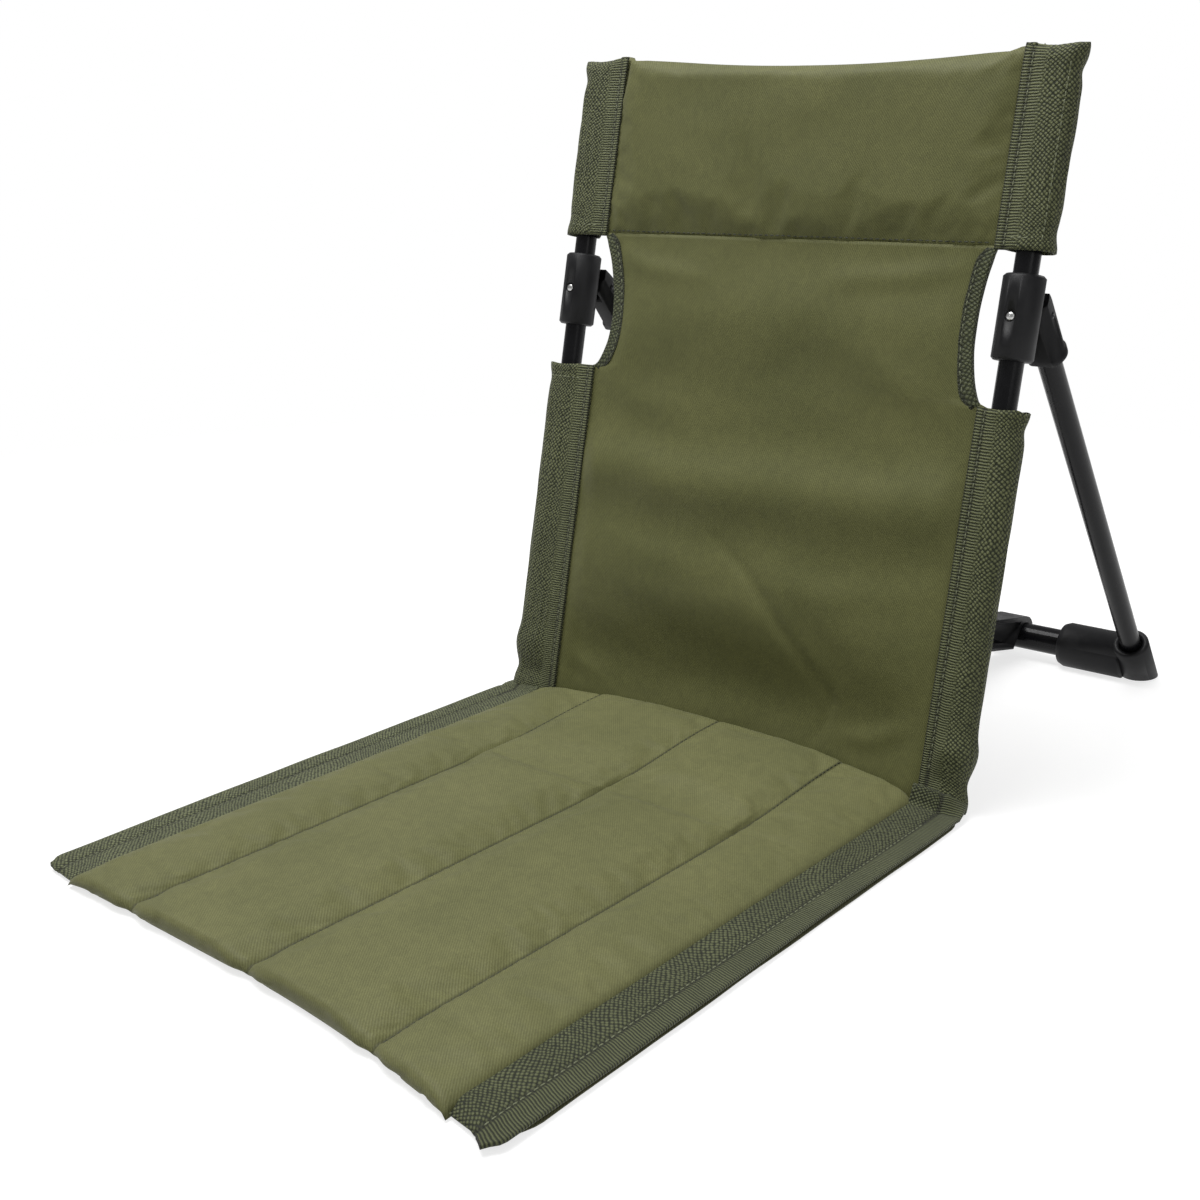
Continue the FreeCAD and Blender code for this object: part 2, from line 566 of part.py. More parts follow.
def hook():
    """Right hook: a ribbed arm, hinged on the cross tube, that drops over the floor crossbar."""
    grip_r = BAR_R + HOOK_GRIP_GAP
    out_r = grip_r + HOOK_GRIP_WALL
    grip = V(0, HOOK_REACH, 0)
    front_angle = 180 - HOOK_FLARE
    wall_top = polar(grip_r, front_angle, grip)
    down_wall = polar(1, front_angle + 90)
    wall_end = wall_top + down_wall * ((wall_top.z + HOOK_JAW) / -down_wall.z)
    ring_top = V(0, 0, RING_R)
    ring_low = V(0, 0, -RING_R)
    grip_top = grip + V(0, 0, out_r)
    top_tilt = (out_r - RING_R) / HOOK_REACH
    tip_out = polar(out_r, HOOK_TIP, grip)
    tip_in = polar(grip_r, HOOK_TIP, grip)
    edges = run(ring_top, grip_top) + arc(grip_top, polar(out_r, (90 + HOOK_TIP) / 2, grip), tip_out)
    edges += run(tip_out, tip_in)
    edges += arc(tip_in, polar(grip_r, (front_angle + HOOK_TIP) / 2, grip), wall_top)
    edges += run(wall_top, wall_end, ring_low) + arc(ring_low, V(0, -RING_R, 0), ring_top)
    body = slab(edges, V(HOOK_WIDTH, 0, 0))
    body = body.cut(rod(CROSS_R + HOOK_RUN, V(), ACROSS, HOOK_WIDTH))

    away = polar(HOOK_FLANGE, front_angle)
    pocket_start = RING_R + HOOK_FLANGE
    pocket_top = V(0, pocket_start, RING_R + top_tilt * pocket_start - HOOK_FLANGE)
    pocket_low = V(0, pocket_start, HOOK_FLANGE - RING_R)
    rise = grip_top.z - HOOK_FLANGE - (wall_top + away).z
    far_top = wall_top + away + down_wall * (rise / down_wall.z)
    drop = (wall_end + away).z + HOOK_JAW - HOOK_FLANGE
    far_low = wall_end + away + down_wall * (drop / -down_wall.z)
    far_top.z = RING_R + top_tilt * far_top.y - HOOK_FLANGE
    pocket = slab(run(pocket_top, far_top, far_low, pocket_low, pocket_top), V(HOOK_WIDTH, 0, 0))
    spacing = (far_low.y - pocket_start) / (HOOK_RIBS + 1)
    for count in range(1, HOOK_RIBS + 1):
        rib = pocket_start + count * spacing
        pocket = pocket.cut(box_between(V(0, rib - HOOK_FLANGE / 2, -out_r),
                                        V(HOOK_WIDTH, rib + HOOK_FLANGE / 2, out_r)))
    web_low = (HOOK_WIDTH - HOOK_WEB) / 2
    web = box_between(V(web_low, 0, -out_r), V(web_low + HOOK_WEB, HOOK_REACH, out_r))
    body = body.cut(pocket.cut(web))
    return body.translated(V(HOOK_OFFSET - HOOK_WIDTH / 2, 0, 0))


def channel_bounds():
    """Left and right seam of each sewn channel of the seat, with the channel's crown."""
    seams = [-PAD_X, -SEAM_X, 0, SEAM_X, PAD_X]
    crowns = [SIDE_CROWN, CROWN, CROWN, SIDE_CROWN]
    return list(zip(seams, seams[1:], crowns))


def seat_side_view(inset):
    """Side view of the pad, rounded down at the front edge, drawn in by inset."""
    front = -SEAT_FRONT + inset
    top = CROWN + HINGE_ABOVE_CROWN
    shoulder = V(-PAD_X, front + FRONT_ROUND, top)
    nose = V(-PAD_X, front, FRONT_HEIGHT - inset)
    rear = SEAT_REAR - inset
    edges = bend(shoulder, -REAR, nose)
    edges += run(nose, V(-PAD_X, front, CLOTH), V(-PAD_X, rear, CLOTH), V(-PAD_X, rear, top), shoulder)
    return slab(edges, V(2 * PAD_X, 0, 0))


def seat_channel(left, right, crown, inset):
    """One crowned channel of foam, drawn in by inset under the cloth, in the pad's full length."""
    start = -SEAT_FRONT
    low = SEAM_HEIGHT - inset
    middle = V((left + right) / 2, start, crown - inset)
    edges = run(V(right, start, low), V(right, start, CLOTH), V(left, start, CLOTH), V(left, start, low))
    edges += arc(V(left, start, low), middle, V(right, start, low))
    return slab(edges, V(0, SEAT_FRONT + SEAT_REAR, 0))


def foam_strips(gap):
    """The four foam strips, drawn in by a further gap."""
    view = seat_side_view(CLOTH + gap)
    inset = SEAM_HALF + gap
    return [seat_channel(left + inset, right - inset, crown, CLOTH + gap).common(view)
            for left, right, crown in channel_bounds()]


def seat_top_cloth():
    """Quilted top cloth of the seat, sewn down to the base cloth between the foam strips."""
    channels = [seat_channel(left, right, crown, 0) for left, right, crown in channel_bounds()]
    body = channels[0].fuse(channels[1:]).common(seat_side_view(0))
    return body.cut(Part.makeCompound(foam_strips(0))).removeSplitter()


def seat_base_cloth():
    """Flat cloth under the seat."""
    return box_between(V(-PAD_X, -SEAT_FRONT, 0), V(PAD_X, SEAT_REAR, CLOTH))


def seat_border():
    """Right webbing edge of the seat, folded over along its outer side."""
    start = -SEAT_FRONT
    fold = SEAT_WIDTH / 2 - BORDER_THICKNESS / 2
    low = V(fold, start, 0)
    high = V(fold, start, BORDER_THICKNESS)
    edges = run(high, V(PAD_X, start, BORDER_THICKNESS), V(PAD_X, start, 0), low)
    edges += arc(low, V(SEAT_WIDTH / 2, start, BORDER_THICKNESS / 2), high)
    return slab(edges, V(0, SEAT_FRONT + SEAT_REAR, 0))


def fold_gusset():
    """Gathered cloth in the corner of the fold, sewn to the back panel, that the seat turns on."""
    def on_panel(height):
        return V(-FLANGE_X, height * SIN_RECLINE / COS_RECLINE + PANEL_FRONT / COS_RECLINE, height)

    foot = on_panel(PANEL_BOTTOM * COS_RECLINE - PANEL_FRONT * SIN_RECLINE)
    top = on_panel(GUSSET_RISE)
    front = SEAT_REAR + GUSSET_GAP
    lip = V(-FLANGE_X, front, CROWN)
    edges = bend(top, V(0, -SIN_RECLINE, -COS_RECLINE), lip)
    edges += run(lip, V(-FLANGE_X, front, GUSSET_LIFT), V(-FLANGE_X, foot.y, GUSSET_LIFT), foot, top)
    return slab(edges, V(2 * FLANGE_X, 0, 0))


def pair(name, shape):
    """Left-hand and right-hand node of a right-hand piece."""
    return {"left_" + name: mirrored(shape), "right_" + name: shape}


def group(shape):
    """One node with a right-hand piece and its left-hand twin."""
    return Part.makeCompound([mirrored(shape), shape])


def leaned(pieces):
    """Pieces of the back, leaned to the recline."""
    return {name: moved(shape, BACK) for name, shape in pieces.items()}


def all_nodes():
    """Every node of the chair by name, in the modelling layout."""
    upright = {
        **pair("back_tube", back_tube()),
        **pair("pivot_bracket", pivot_bracket()),
        **pair("head_pocket", head_pocket()),
        **pair("cutout_binding", cutout_binding()),
        "lower_cross_tube": lower_cross_tube(),
        "tube_top_caps": group(tube_top_cap()),
        "bracket_rivets": group(bracket_rivet()),
        "pivot_pins": group(pivot_pin()),
        "back_panel": back_panel(),
        "headrest_cover": headrest_cover(),
        "headrest_foam": headrest_foam(),
    }
    leg_pieces = {
        **pair("leg_tube", moved(leg_tube(), LEG)),
        **pair("leg_socket", moved(leg_socket(), LEG)),
        **pair("foot_corner", foot_corner()),
        "floor_crossbar": floor_crossbar(),
    }
    seat_pieces = {
        **pair("seat_border", seat_border()),
        "seat_base_cloth": seat_base_cloth(),
        "seat_foam": Part.makeCompound(foam_strips(FOAM_GAP)),
        "seat_top_cloth": seat_top_cloth(),
    }
    return {
        **leaned(upright),
        **pair("back_sleeve", back_sleeve()),
        "tube_bottom_caps": group(above_floor(moved(tube_bottom_cap(), BACK))),
        "fold_gusset": fold_gusset(),
        **seat_pieces,
        **leg_pieces,
        **pair("hook", moved(hook(), HOOK)),
    }


def main():
    """Build every node, move it to the chair's own frame and write it out."""
    os.makedirs("parts", exist_ok=True)
    for name, shape in all_nodes().items():
        shape.translated(ORIGIN_SHIFT).exportStep("parts/" + name + ".step")
    for name, place in (("leg pivot", PIVOT), ("hook axis", CROSS), ("seat fold", SEAT_HINGE)):
        at = place + ORIGIN_SHIFT
        print(name, "x %.3f y %.3f z %.3f" % (at.x, at.y, at.z))
    print("leg fold %.2f, hook slope %.2f" % (FOLD_ANGLE, HOOK_SLOPE))


main()
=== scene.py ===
"""Looks of the folding floor chair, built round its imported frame.  Metres.

Left and right are as seen in the frame: right is +X.  Pieces of the back are laid out as x across,
v behind the axis of the back tubes and u up along them, and are then leaned with BACK.
Every sheet is a grid whose point (s, t) is set by a formula, with s across and t along it.
"""
import json
import math

import bmesh
import bpy
import numpy as np
from mathutils import Matrix, Vector, noise
from mathutils.bvhtree import BVHTree

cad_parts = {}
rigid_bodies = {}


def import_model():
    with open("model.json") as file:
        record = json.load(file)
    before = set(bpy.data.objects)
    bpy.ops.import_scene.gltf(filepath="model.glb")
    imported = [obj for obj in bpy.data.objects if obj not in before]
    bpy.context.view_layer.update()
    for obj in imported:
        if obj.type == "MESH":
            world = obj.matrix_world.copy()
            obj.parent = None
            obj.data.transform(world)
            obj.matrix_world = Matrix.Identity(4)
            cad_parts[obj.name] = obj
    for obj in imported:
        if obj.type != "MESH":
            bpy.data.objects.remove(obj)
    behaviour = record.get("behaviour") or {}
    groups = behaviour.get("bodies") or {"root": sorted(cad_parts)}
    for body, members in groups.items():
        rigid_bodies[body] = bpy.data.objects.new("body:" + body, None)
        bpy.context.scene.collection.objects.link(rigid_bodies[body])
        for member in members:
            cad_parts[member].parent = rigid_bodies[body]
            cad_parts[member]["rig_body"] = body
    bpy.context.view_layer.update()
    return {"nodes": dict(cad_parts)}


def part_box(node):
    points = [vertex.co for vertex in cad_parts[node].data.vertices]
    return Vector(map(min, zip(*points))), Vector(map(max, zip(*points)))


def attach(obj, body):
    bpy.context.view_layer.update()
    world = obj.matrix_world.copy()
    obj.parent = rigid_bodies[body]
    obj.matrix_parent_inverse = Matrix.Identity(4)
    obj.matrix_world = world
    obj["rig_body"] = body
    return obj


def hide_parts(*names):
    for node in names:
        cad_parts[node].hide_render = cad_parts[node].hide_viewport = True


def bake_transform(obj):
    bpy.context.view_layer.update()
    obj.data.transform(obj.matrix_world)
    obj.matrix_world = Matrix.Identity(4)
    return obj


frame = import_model()

# Places taken from the frame
RECLINE = math.radians(12)
LEAN_SIN = math.sin(RECLINE)
LEAN_COS = math.cos(RECLINE)
TUBE_LOW, TUBE_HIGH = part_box("right_back_tube")
TUBE_X = (TUBE_LOW.x + TUBE_HIGH.x) / 2
TUBE_R = (TUBE_HIGH.x - TUBE_LOW.x) / 2
TUBE_START = (TUBE_LOW.z + TUBE_R * LEAN_SIN) / LEAN_COS
FOOT_Y = TUBE_LOW.y + TUBE_R * LEAN_COS - TUBE_START * LEAN_SIN
BACK = Matrix.Translation((0, FOOT_Y, 0)) @ Matrix.Rotation(-RECLINE, 4, "X")
POCKET_LOW, POCKET_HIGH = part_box("right_head_pocket")
FLANGE_X = POCKET_LOW.x
SLEEVE_R = 0.0098
SLEEVE_SPARE = POCKET_HIGH.x - TUBE_X - SLEEVE_R
POCKET_BOTTOM = (POCKET_LOW.z + SLEEVE_R * LEAN_SIN) / LEAN_COS
POCKET_TOP = (POCKET_HIGH.z - SLEEVE_R * LEAN_SIN) / LEAN_COS
SLEEVE_TOP = (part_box("right_back_sleeve")[1].z - SLEEVE_R * LEAN_SIN) / LEAN_COS
SEAT_LOW, SEAT_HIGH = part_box("seat_top_cloth")
PAD_X = SEAT_HIGH.x
SEAT_FRONT = SEAT_LOW.y
SEAT_REAR = SEAT_HIGH.y
CROWN = SEAT_HIGH.z
EDGE_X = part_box("right_seat_border")[1].x

# Cloth
CLOTH = 0.0012            # thickness of the back's cloth
WEBBING = 0.0012          # thickness of the sleeves and pockets
PANEL_FRONT = -0.0070     # v of the front of the back's cloth
TUCK = 0.006              # cloth behind a sewn edge
FLANGE_BACK = -0.0072     # v of a sleeve's rear edge
CUTOUT_HEIGHT = POCKET_BOTTOM - SLEEVE_TOP
SEAM_PITCH = 0.107
SEAMS = (-SEAM_PITCH, 0.0, SEAM_PITCH)
SEAM_HEIGHT = 0.0088      # heights of the pad at a seam, at its sides and along its outer channels
EDGE_HEIGHT = 0.0056
SIDE_CROWN = 0.0115
GROOVE_DEPTH = 0.0018     # of the sewn groove below the seam's height
FRONT_BACK = 0.0125       # how far the front edge lies behind the solid's
FRONT_SHEAR = 0.0215      # how far its right corner runs forwards from there
REAR_BOW = 0.017          # how far the pad's rear bows back between the tubes
REAR_RISE = 0.0055        # how far it rises there
PAD_FLOOR = 0.0012        # height of the pad's underside

# Sewn edges, which lie askew in the photograph, by side: -1 left, 1 right
SLEEVE_INNER = {-1: FLANGE_X - 0.0050, 1: FLANGE_X + 0.0115}
POCKET_INNER = {-1: FLANGE_X - 0.0015, 1: FLANGE_X + 0.0060}
CUTOUT_DEPTH = {-1: 0.0145, 1: 0.0095}

# Thread
STITCH_PITCH = 0.0046
STITCH_LENGTH = 0.0034
STITCH_WIDTH = 0.0011
STITCH_HEIGHT = 0.0009


def smooth(low, high, value):
    """0 below low, 1 above high, eased between."""
    share = min(1.0, max(0.0, (value - low) / (high - low)))
    return share * share * (3 - 2 * share)


def hump(value, middle, width):
    """Round hump of height 1."""
    return math.exp(-((value - middle) / width) ** 2)


def mix(a, b, share):
    return a + (b - a) * share


def outwards(s, side):
    """Share across a piece of either side, from its inner edge."""
    return s if side > 0 else 1 - s


def back_point(x, v, u):
    """Point of the leaned back."""
    return BACK @ Vector((x, v, u))


def rumple(x, y, pitch, seed):
    """Smooth unevenness between about -1 and 1."""
    return noise.noise(Vector((x / pitch, y / pitch, seed)))


# Materials

def plain_material(name, colour, roughness, specular=0.5):
    """New material and its shader."""
    material = bpy.data.materials.new(name)
    material.use_nodes = True
    shader = material.node_tree.nodes["Principled BSDF"]
    shader.inputs["Base Color"].default_value = (*colour, 1)
    shader.inputs["Roughness"].default_value = roughness
    shader.inputs["Specular IOR Level"].default_value = specular
    return material, shader


def cloth_material(name, colour, roughness, sheen_roughness):
    """New cloth material with a faint sheen."""
    material, shader = plain_material(name, colour, roughness, 0.3)
    shader.inputs["Sheen Weight"].default_value = 0.1
    shader.inputs["Sheen Roughness"].default_value = sheen_roughness
    return material, shader


def add_node(owner, kind, inputs=(), **settings):
    """New node of a material or world; each input is a value or a socket to link."""
    node = owner.node_tree.nodes.new(kind)
    for name, value in settings.items():
        setattr(node, name, value)
    for name, value in dict(inputs).items():
        if isinstance(value, bpy.types.NodeSocket):
            owner.node_tree.links.new(value, node.inputs[name])
        else:
            node.inputs[name].default_value = value
    return node


def link(owner, socket, node, name):
    owner.node_tree.links.new(socket, node.inputs[name])


def coordinates(material, kind):
    """UV or Object coordinates."""
    return add_node(material, "ShaderNodeTexCoord").outputs[kind]


def noise_at(material, place, scale, detail, roughness=0.5, distortion=0.0, output="Fac"):
    """Noise between 0 and 1."""
    return add_node(material, "ShaderNodeTexNoise", {
        "Vector": place, "Scale": scale, "Detail": detail, "Roughness": roughness, "Distortion": distortion,
    }).outputs[output]


def waves_at(material, place, direction, scale, distortion, detail_scale):
    """Bands between 0 and 1 across a direction."""
    return add_node(material, "ShaderNodeTexWave", {
        "Vector": place, "Scale": scale, "Distortion": distortion, "Detail": 1.0, "Detail Scale": detail_scale,
    }, bands_direction=direction).outputs["Fac"]


def turned(material, place, degrees):
    """Coordinates turned in the plane of the cloth."""
    return add_node(material, "ShaderNodeMapping", {
        "Vector": place, "Rotation": (0, 0, math.radians(degrees)),
    }).outputs["Vector"]


def ranged(material, value, low, high, to_low, to_high, easing="LINEAR"):
    """Value mapped from one range to another."""
    return add_node(material, "ShaderNodeMapRange", {
        "Value": value, "From Min": low, "From Max": high, "To Min": to_low, "To Max": to_high,
    }, interpolation_type=easing).outputs["Result"]


def worked(material, operation, *values):
    """Result of a Math node."""
    return add_node(material, "ShaderNodeMath", dict(enumerate(values)), operation=operation).outputs[0]


def ramp(material, factor, low, high, dark, light):
    """Colour that goes from dark to light as the factor goes from low to high."""
    node = add_node(material, "ShaderNodeValToRGB", {"Fac": factor})
    for element, position, colour in zip(node.color_ramp.elements, (low, high), (dark, light)):
        element.position = position
        element.color = (*colour, 1)
    return node.outputs["Color"]


def multiplied(material, colour, *factors):
    """Colour times each factor."""
    for factor in factors:
        colour = add_node(material, "ShaderNodeMix", {"Factor": 1.0, "A": colour, "B": factor},
                          data_type="RGBA", blend_type="MULTIPLY").outputs["Result"]
    return colour


def raised(material, shader, height, depth, strength):
    """Bump from a height between 0 and 1."""
    bump = add_node(material, "ShaderNodeBump", {"Height": height, "Distance": depth, "Strength": strength})
    link(material, bump.outputs["Normal"], shader, "Normal")


def twill(name, dark, light, groove=None):
    """Olive twill with fine slanting ribs and a cloudy, faintly worn colour.

    groove is (pitch, middle) of the sewn grooves along UV x, where the colour is darkened as painted shade.
    """
    material, shader = cloth_material(name, light, 0.62, 0.45)
    place = coordinates(material, "UV")
    ribs = waves_at(material, turned(material, place, -38), "X", 225, 0.9, 1.5)
    yarn = noise_at(material, place, 900, 2.0, 0.6)
    brushed = noise_at(material, place, 130, 3.0, 0.6, 0.8)
    cloud = noise_at(material, place, 13, 4.0, 0.55)
    colour = multiplied(material, ramp(material, ribs, 0.1, 0.85, dark, light),
                        ramp(material, yarn, 0.3, 0.7, (0.86, 0.86, 0.85), (1.12, 1.12, 1.10)),
                        ramp(material, brushed, 0.3, 0.7, (0.91, 0.91, 0.90), (1.08, 1.08, 1.07)),
                        ramp(material, cloud, 0.3, 0.7, (0.89, 0.90, 0.87), (1.09, 1.08, 1.08)))
    # painted shade: the colour darkens along the sewn grooves
    if groove:
        pitch, middle = groove
        across = add_node(material, "ShaderNodeSeparateXYZ", {"Vector": place}).outputs["X"]
        beside = worked(material, "PINGPONG", worked(material, "SUBTRACT", across, middle), pitch / 2)
        colour = multiplied(material, colour, ranged(material, beside, 0.0002, 0.0018, 0.5, 1.0, "SMOOTHSTEP"))
    link(material, colour, shader, "Base Color")
    raised(material, shader, worked(material, "MULTIPLY_ADD", brushed, 0.5, ribs), 0.00013, 0.5)
    return material


def edging(name, dark, light, rib_width, seam, edge):
    """Grey-green woven edging: pebbled in wandering rows, with fine cross ribs within rib_width of UV x = 0.

    The colour is darkened as painted shade between the beads and ribs, in the sewn groove at UV x = seam, and
    within edge of UV x = 0.
    """
    material, shader = cloth_material(name, light, 0.66, 0.5)
    place = coordinates(material, "UV")
    drift = noise_at(material, place, 17, 1.0, output="Color")
    pushed = add_node(material, "ShaderNodeVectorMath", {0: drift, 1: (0.016, 0.016, 0), 2: place},
                      operation="MULTIPLY_ADD").outputs["Vector"]
    pebbles = add_node(material, "ShaderNodeTexVoronoi", {
        "Vector": turned(material, pushed, 38), "Scale": 470, "Randomness": 0.26,
    }, feature="F1").outputs["Distance"]
    bead = ranged(material, pebbles, 0.16, 0.62, 1.0, 0.0, "SMOOTHSTEP")
    ribs = waves_at(material, place, "Y", 172, 1.6, 1.2)
    across = add_node(material, "ShaderNodeSeparateXYZ", {"Vector": place}).outputs["X"]
    ribbed = ranged(material, across, rib_width - 0.002, rib_width + 0.003, 1.0, 0.0)
    height = add_node(material, "ShaderNodeMix", {"Factor": ribbed, "A": bead, "B": ribs},
                      data_type="FLOAT").outputs["Result"]
    cloud = noise_at(material, place, 28, 3.0)
    from_seam = worked(material, "ABSOLUTE", worked(material, "SUBTRACT", across, seam))
    # painted shade: darker between beads and ribs, in the sewn groove and near UV x = 0
    colour = multiplied(material, ramp(material, height, 0.0, 0.95, dark, light),
                        ramp(material, cloud, 0.3, 0.7, (0.86, 0.87, 0.84), (1.12, 1.12, 1.10)),
                        ranged(material, from_seam, 0.0007, 0.0022, 0.4, 1.0),
                        ranged(material, across, edge * 0.5, edge, 0.42, 1.0))
    link(material, colour, shader, "Base Color")
    raised(material, shader, height, 0.0007, 0.8)
    return material


def black_finish(name, specular, grain_scale, wear_noise, gloss, wear_range, dark, light, depth, strength):
    """Black surface with a fine grain and rubbed patches, which differ in colour and gloss."""
    material, shader = plain_material(name, light, gloss[0], specular)
    place = coordinates(material, "Object")
    grain = noise_at(material, place, grain_scale, 2.0)
    wear = noise_at(material, place, *wear_noise)
    link(material, ranged(material, wear, 0.3, 0.7, *gloss), shader, "Roughness")
    link(material, ramp(material, wear, *wear_range, dark, light), shader, "Base Color")
    raised(material, shader, grain, depth, strength)
    return material


def bare_steel(name, dark, light):
    """Steel of a rivet or pin with fine drawn scratches."""
    material, shader = plain_material(name, light, 0.32)
    shader.inputs["Metallic"].default_value = 1.0
    stretch = add_node(material, "ShaderNodeMapping", {
        "Vector": coordinates(material, "Object"), "Scale": (300, 300, 2400),
    }).outputs["Vector"]
    scratch = noise_at(material, stretch, 1.0, 3.0)
    link(material, ramp(material, scratch, 0.25, 0.75, dark, light), shader, "Base Color")
    raised(material, shader, scratch, 0.0001, 0.3)
    return material


def sewing_thread(name, dark, light):
    """Twisted sewing thread."""
    material, shader = plain_material(name, light, 0.6)
    strands = noise_at(material, coordinates(material, "Object"), 1500, 1.0)
    link(material, ramp(material, strands, 0.3, 0.7, dark, light), shader, "Base Color")
    raised(material, shader, strands, 0.0001, 0.5)
    return material


FLOOR_GREY = (0.42, 0.42, 0.42)
FLOOR_LIFT = 0.72         # white added to what the camera sees of the floor
FLOOR_CLEAR = 0.75        # distance from the middle within which it keeps its shadow
FLOOR_WHITE = 1.5         # distance from which it is plain white


def studio_floor(name):
    """White floor that keeps a shadow near the chair."""
    material, shader = plain_material(name, FLOOR_GREY, 1.0, 0.0)
    far = add_node(material, "ShaderNodeVectorMath", {0: coordinates(material, "Object")},
                   operation="LENGTH").outputs["Value"]
    rays = add_node(material, "ShaderNodeLightPath").outputs
    seen = worked(material, "MAXIMUM", rays["Is Camera Ray"], rays["Is Glossy Ray"])
    share = worked(material, "MULTIPLY", seen, ranged(material, far, FLOOR_CLEAR, FLOOR_WHITE, 0.0, 1.0))
    lift = worked(material, "MULTIPLY", seen, FLOOR_LIFT)
    glow = add_node(material, "ShaderNodeEmission", {"Strength": lift}).outputs["Emission"]
    white = add_node(material, "ShaderNodeEmission").outputs["Emission"]
    near = add_node(material, "ShaderNodeAddShader", {0: shader.outputs["BSDF"], 1: glow}).outputs["Shader"]
    both = add_node(material, "ShaderNodeMixShader", {0: share, 1: near, 2: white}).outputs["Shader"]
    link(material, both, material.node_tree.nodes["Material Output"], "Surface")
    return material


# seat_twill and back_twill are one cloth: the copy for the back and headrest is painted darker as painted shade
SEAT_TWILL = twill("seat_twill", (0.130, 0.132, 0.050), (0.168, 0.171, 0.071), (SEAM_PITCH, PAD_X))
BACK_TWILL = twill("back_twill", (0.106, 0.109, 0.035), (0.142, 0.146, 0.053))
UNDERSIDE = twill("underside_cloth", (0.070, 0.072, 0.032), (0.110, 0.112, 0.052))
SLEEVE_EDGING = edging("sleeve_edging", (0.014, 0.018, 0.006), (0.172, 0.185, 0.086), 0.0145, 0.0056, 0.0012)
# the two borders are one webbing, painted lighter on the left and darker on the right as painted light and shade
BORDER_EDGING = {
    -1: edging("left_border_edging", (0.022, 0.026, 0.012), (0.186, 0.202, 0.104), 0.0, 0.0142, 0.0003),
    1: edging("right_border_edging", (0.012, 0.015, 0.006), (0.124, 0.136, 0.064), 0.0136, 0.0142, 0.0003),
}
TAPE = edging("cutout_tape", (0.024, 0.029, 0.012), (0.112, 0.124, 0.060), 0.0, 0.0020, 0.0008)
COATED_STEEL = black_finish("coated_steel", 0.2, 700, (40, 5.0, 0.7), (0.2, 0.3), (0.3, 0.75),
                            (0.004, 0.004, 0.005), (0.009, 0.009, 0.010), 0.00012, 0.35)
PLASTIC = black_finish("moulded_plastic", 0.26, 1900, (55, 4.0, 0.65), (0.4, 0.56), (0.35, 0.75),
                       (0.006, 0.006, 0.007), (0.013, 0.013, 0.014), 0.00018, 0.5)
BRIGHT_STEEL = bare_steel("bright_steel", (0.42, 0.42, 0.42), (0.74, 0.74, 0.72))
DARK_STEEL = bare_steel("dark_steel", (0.014, 0.014, 0.015), (0.032, 0.032, 0.034))
SEAM_THREAD = sewing_thread("seam_thread", (0.022, 0.025, 0.012), (0.062, 0.068, 0.036))
EDGING_THREAD = sewing_thread("edging_thread", (0.110, 0.122, 0.066), (0.220, 0.238, 0.140))


# Making and finishing pieces

def deselect():
    bpy.ops.object.select_all(action="DESELECT")


def select(piece):
    """Selects a piece alone."""
    deselect()
    piece.select_set(True)
    bpy.context.view_layer.objects.active = piece


def apply_modifiers(piece):
    """Applies every modifier of a piece."""
    select(piece)
    for modifier in list(piece.modifiers):
        bpy.ops.object.modifier_apply(modifier=modifier.name)


def sheet_grid(name, columns, rows, place, flat, material):
    """Smooth grid of cloth: place(s, t) gives a point and flat(s, t) its place on the flat cut."""
    deselect()
    bpy.ops.mesh.primitive_grid_add(x_subdivisions=columns, y_subdivisions=rows, size=1)
    piece = bpy.context.object
    piece.name = name
    mesh = piece.data
    mesh.name = name
    shares = [(vertex.co.x + 0.5, vertex.co.y + 0.5) for vertex in mesh.vertices]
    cut = mesh.uv_layers.active.data
    for loop in mesh.loops:
        cut[loop.index].uv = flat(*shares[loop.vertex_index])
    for vertex, share in zip(mesh.vertices, shares):
        vertex.co = place(*share)
    bpy.ops.object.shade_smooth()
    mesh.materials.append(material)
    return piece


def thicken(piece, thickness):
    """Gives a sheet its thickness, inwards from its faces."""
    solid = piece.modifiers.new("thickness", "SOLIDIFY")
    solid.thickness = thickness
    solid.offset = -1.0
    solid.use_even_offset = False
    apply_modifiers(piece)


def settle(piece, held, slack, pressure, cap, frames=18):
    """Lets cloth with some spare length settle under a light pressure, with the held points kept."""
    start = np.array([vertex.co for vertex in piece.data.vertices])
    sewn = piece.vertex_groups.new(name="sewn")
    sewn.add(held, 1.0, "REPLACE")
    cloth = piece.modifiers.new("cloth", "CLOTH")
    cloth.settings.vertex_group_mass = sewn.name
    cloth.settings.quality = 6
    cloth.settings.mass = 0.25
    cloth.settings.shrink_min = -slack
    cloth.settings.use_pressure = True
    cloth.settings.uniform_pressure_force = pressure
    cloth.settings.effector_weights.gravity = 0
    cloth.settings.bending_stiffness = 0.4
    cloth.collision_settings.use_collision = False
    cloth.point_cache.frame_end = frames
    for step in range(1, frames + 1):
        bpy.context.scene.frame_set(step)
    apply_modifiers(piece)
    bpy.context.scene.frame_set(1)
    end = np.array([vertex.co for vertex in piece.data.vertices])
    moved = end - start
    length = np.linalg.norm(moved, axis=1, keepdims=True)
    kept = start + moved * np.minimum(1, cap / np.maximum(length, 1e-9))
    piece.data.vertices.foreach_set("co", kept.astype(np.float32).ravel())
    piece.data.update()
    piece.vertex_groups.clear()


def reshape(piece, change):
    """Changes the mesh of a piece."""
    shell = bmesh.new()
    shell.from_mesh(piece.data)
    change(shell)
    shell.to_mesh(piece.data)
    shell.free()
    piece.data.update()


def weld(piece, distance=0.00002):
    """Closes seams whose points lie together."""
    reshape(piece, lambda shell: bmesh.ops.remove_doubles(shell, verts=shell.verts, dist=distance))


UNDERSIDE_CORNERS = 20    # a pad's flat underside has more


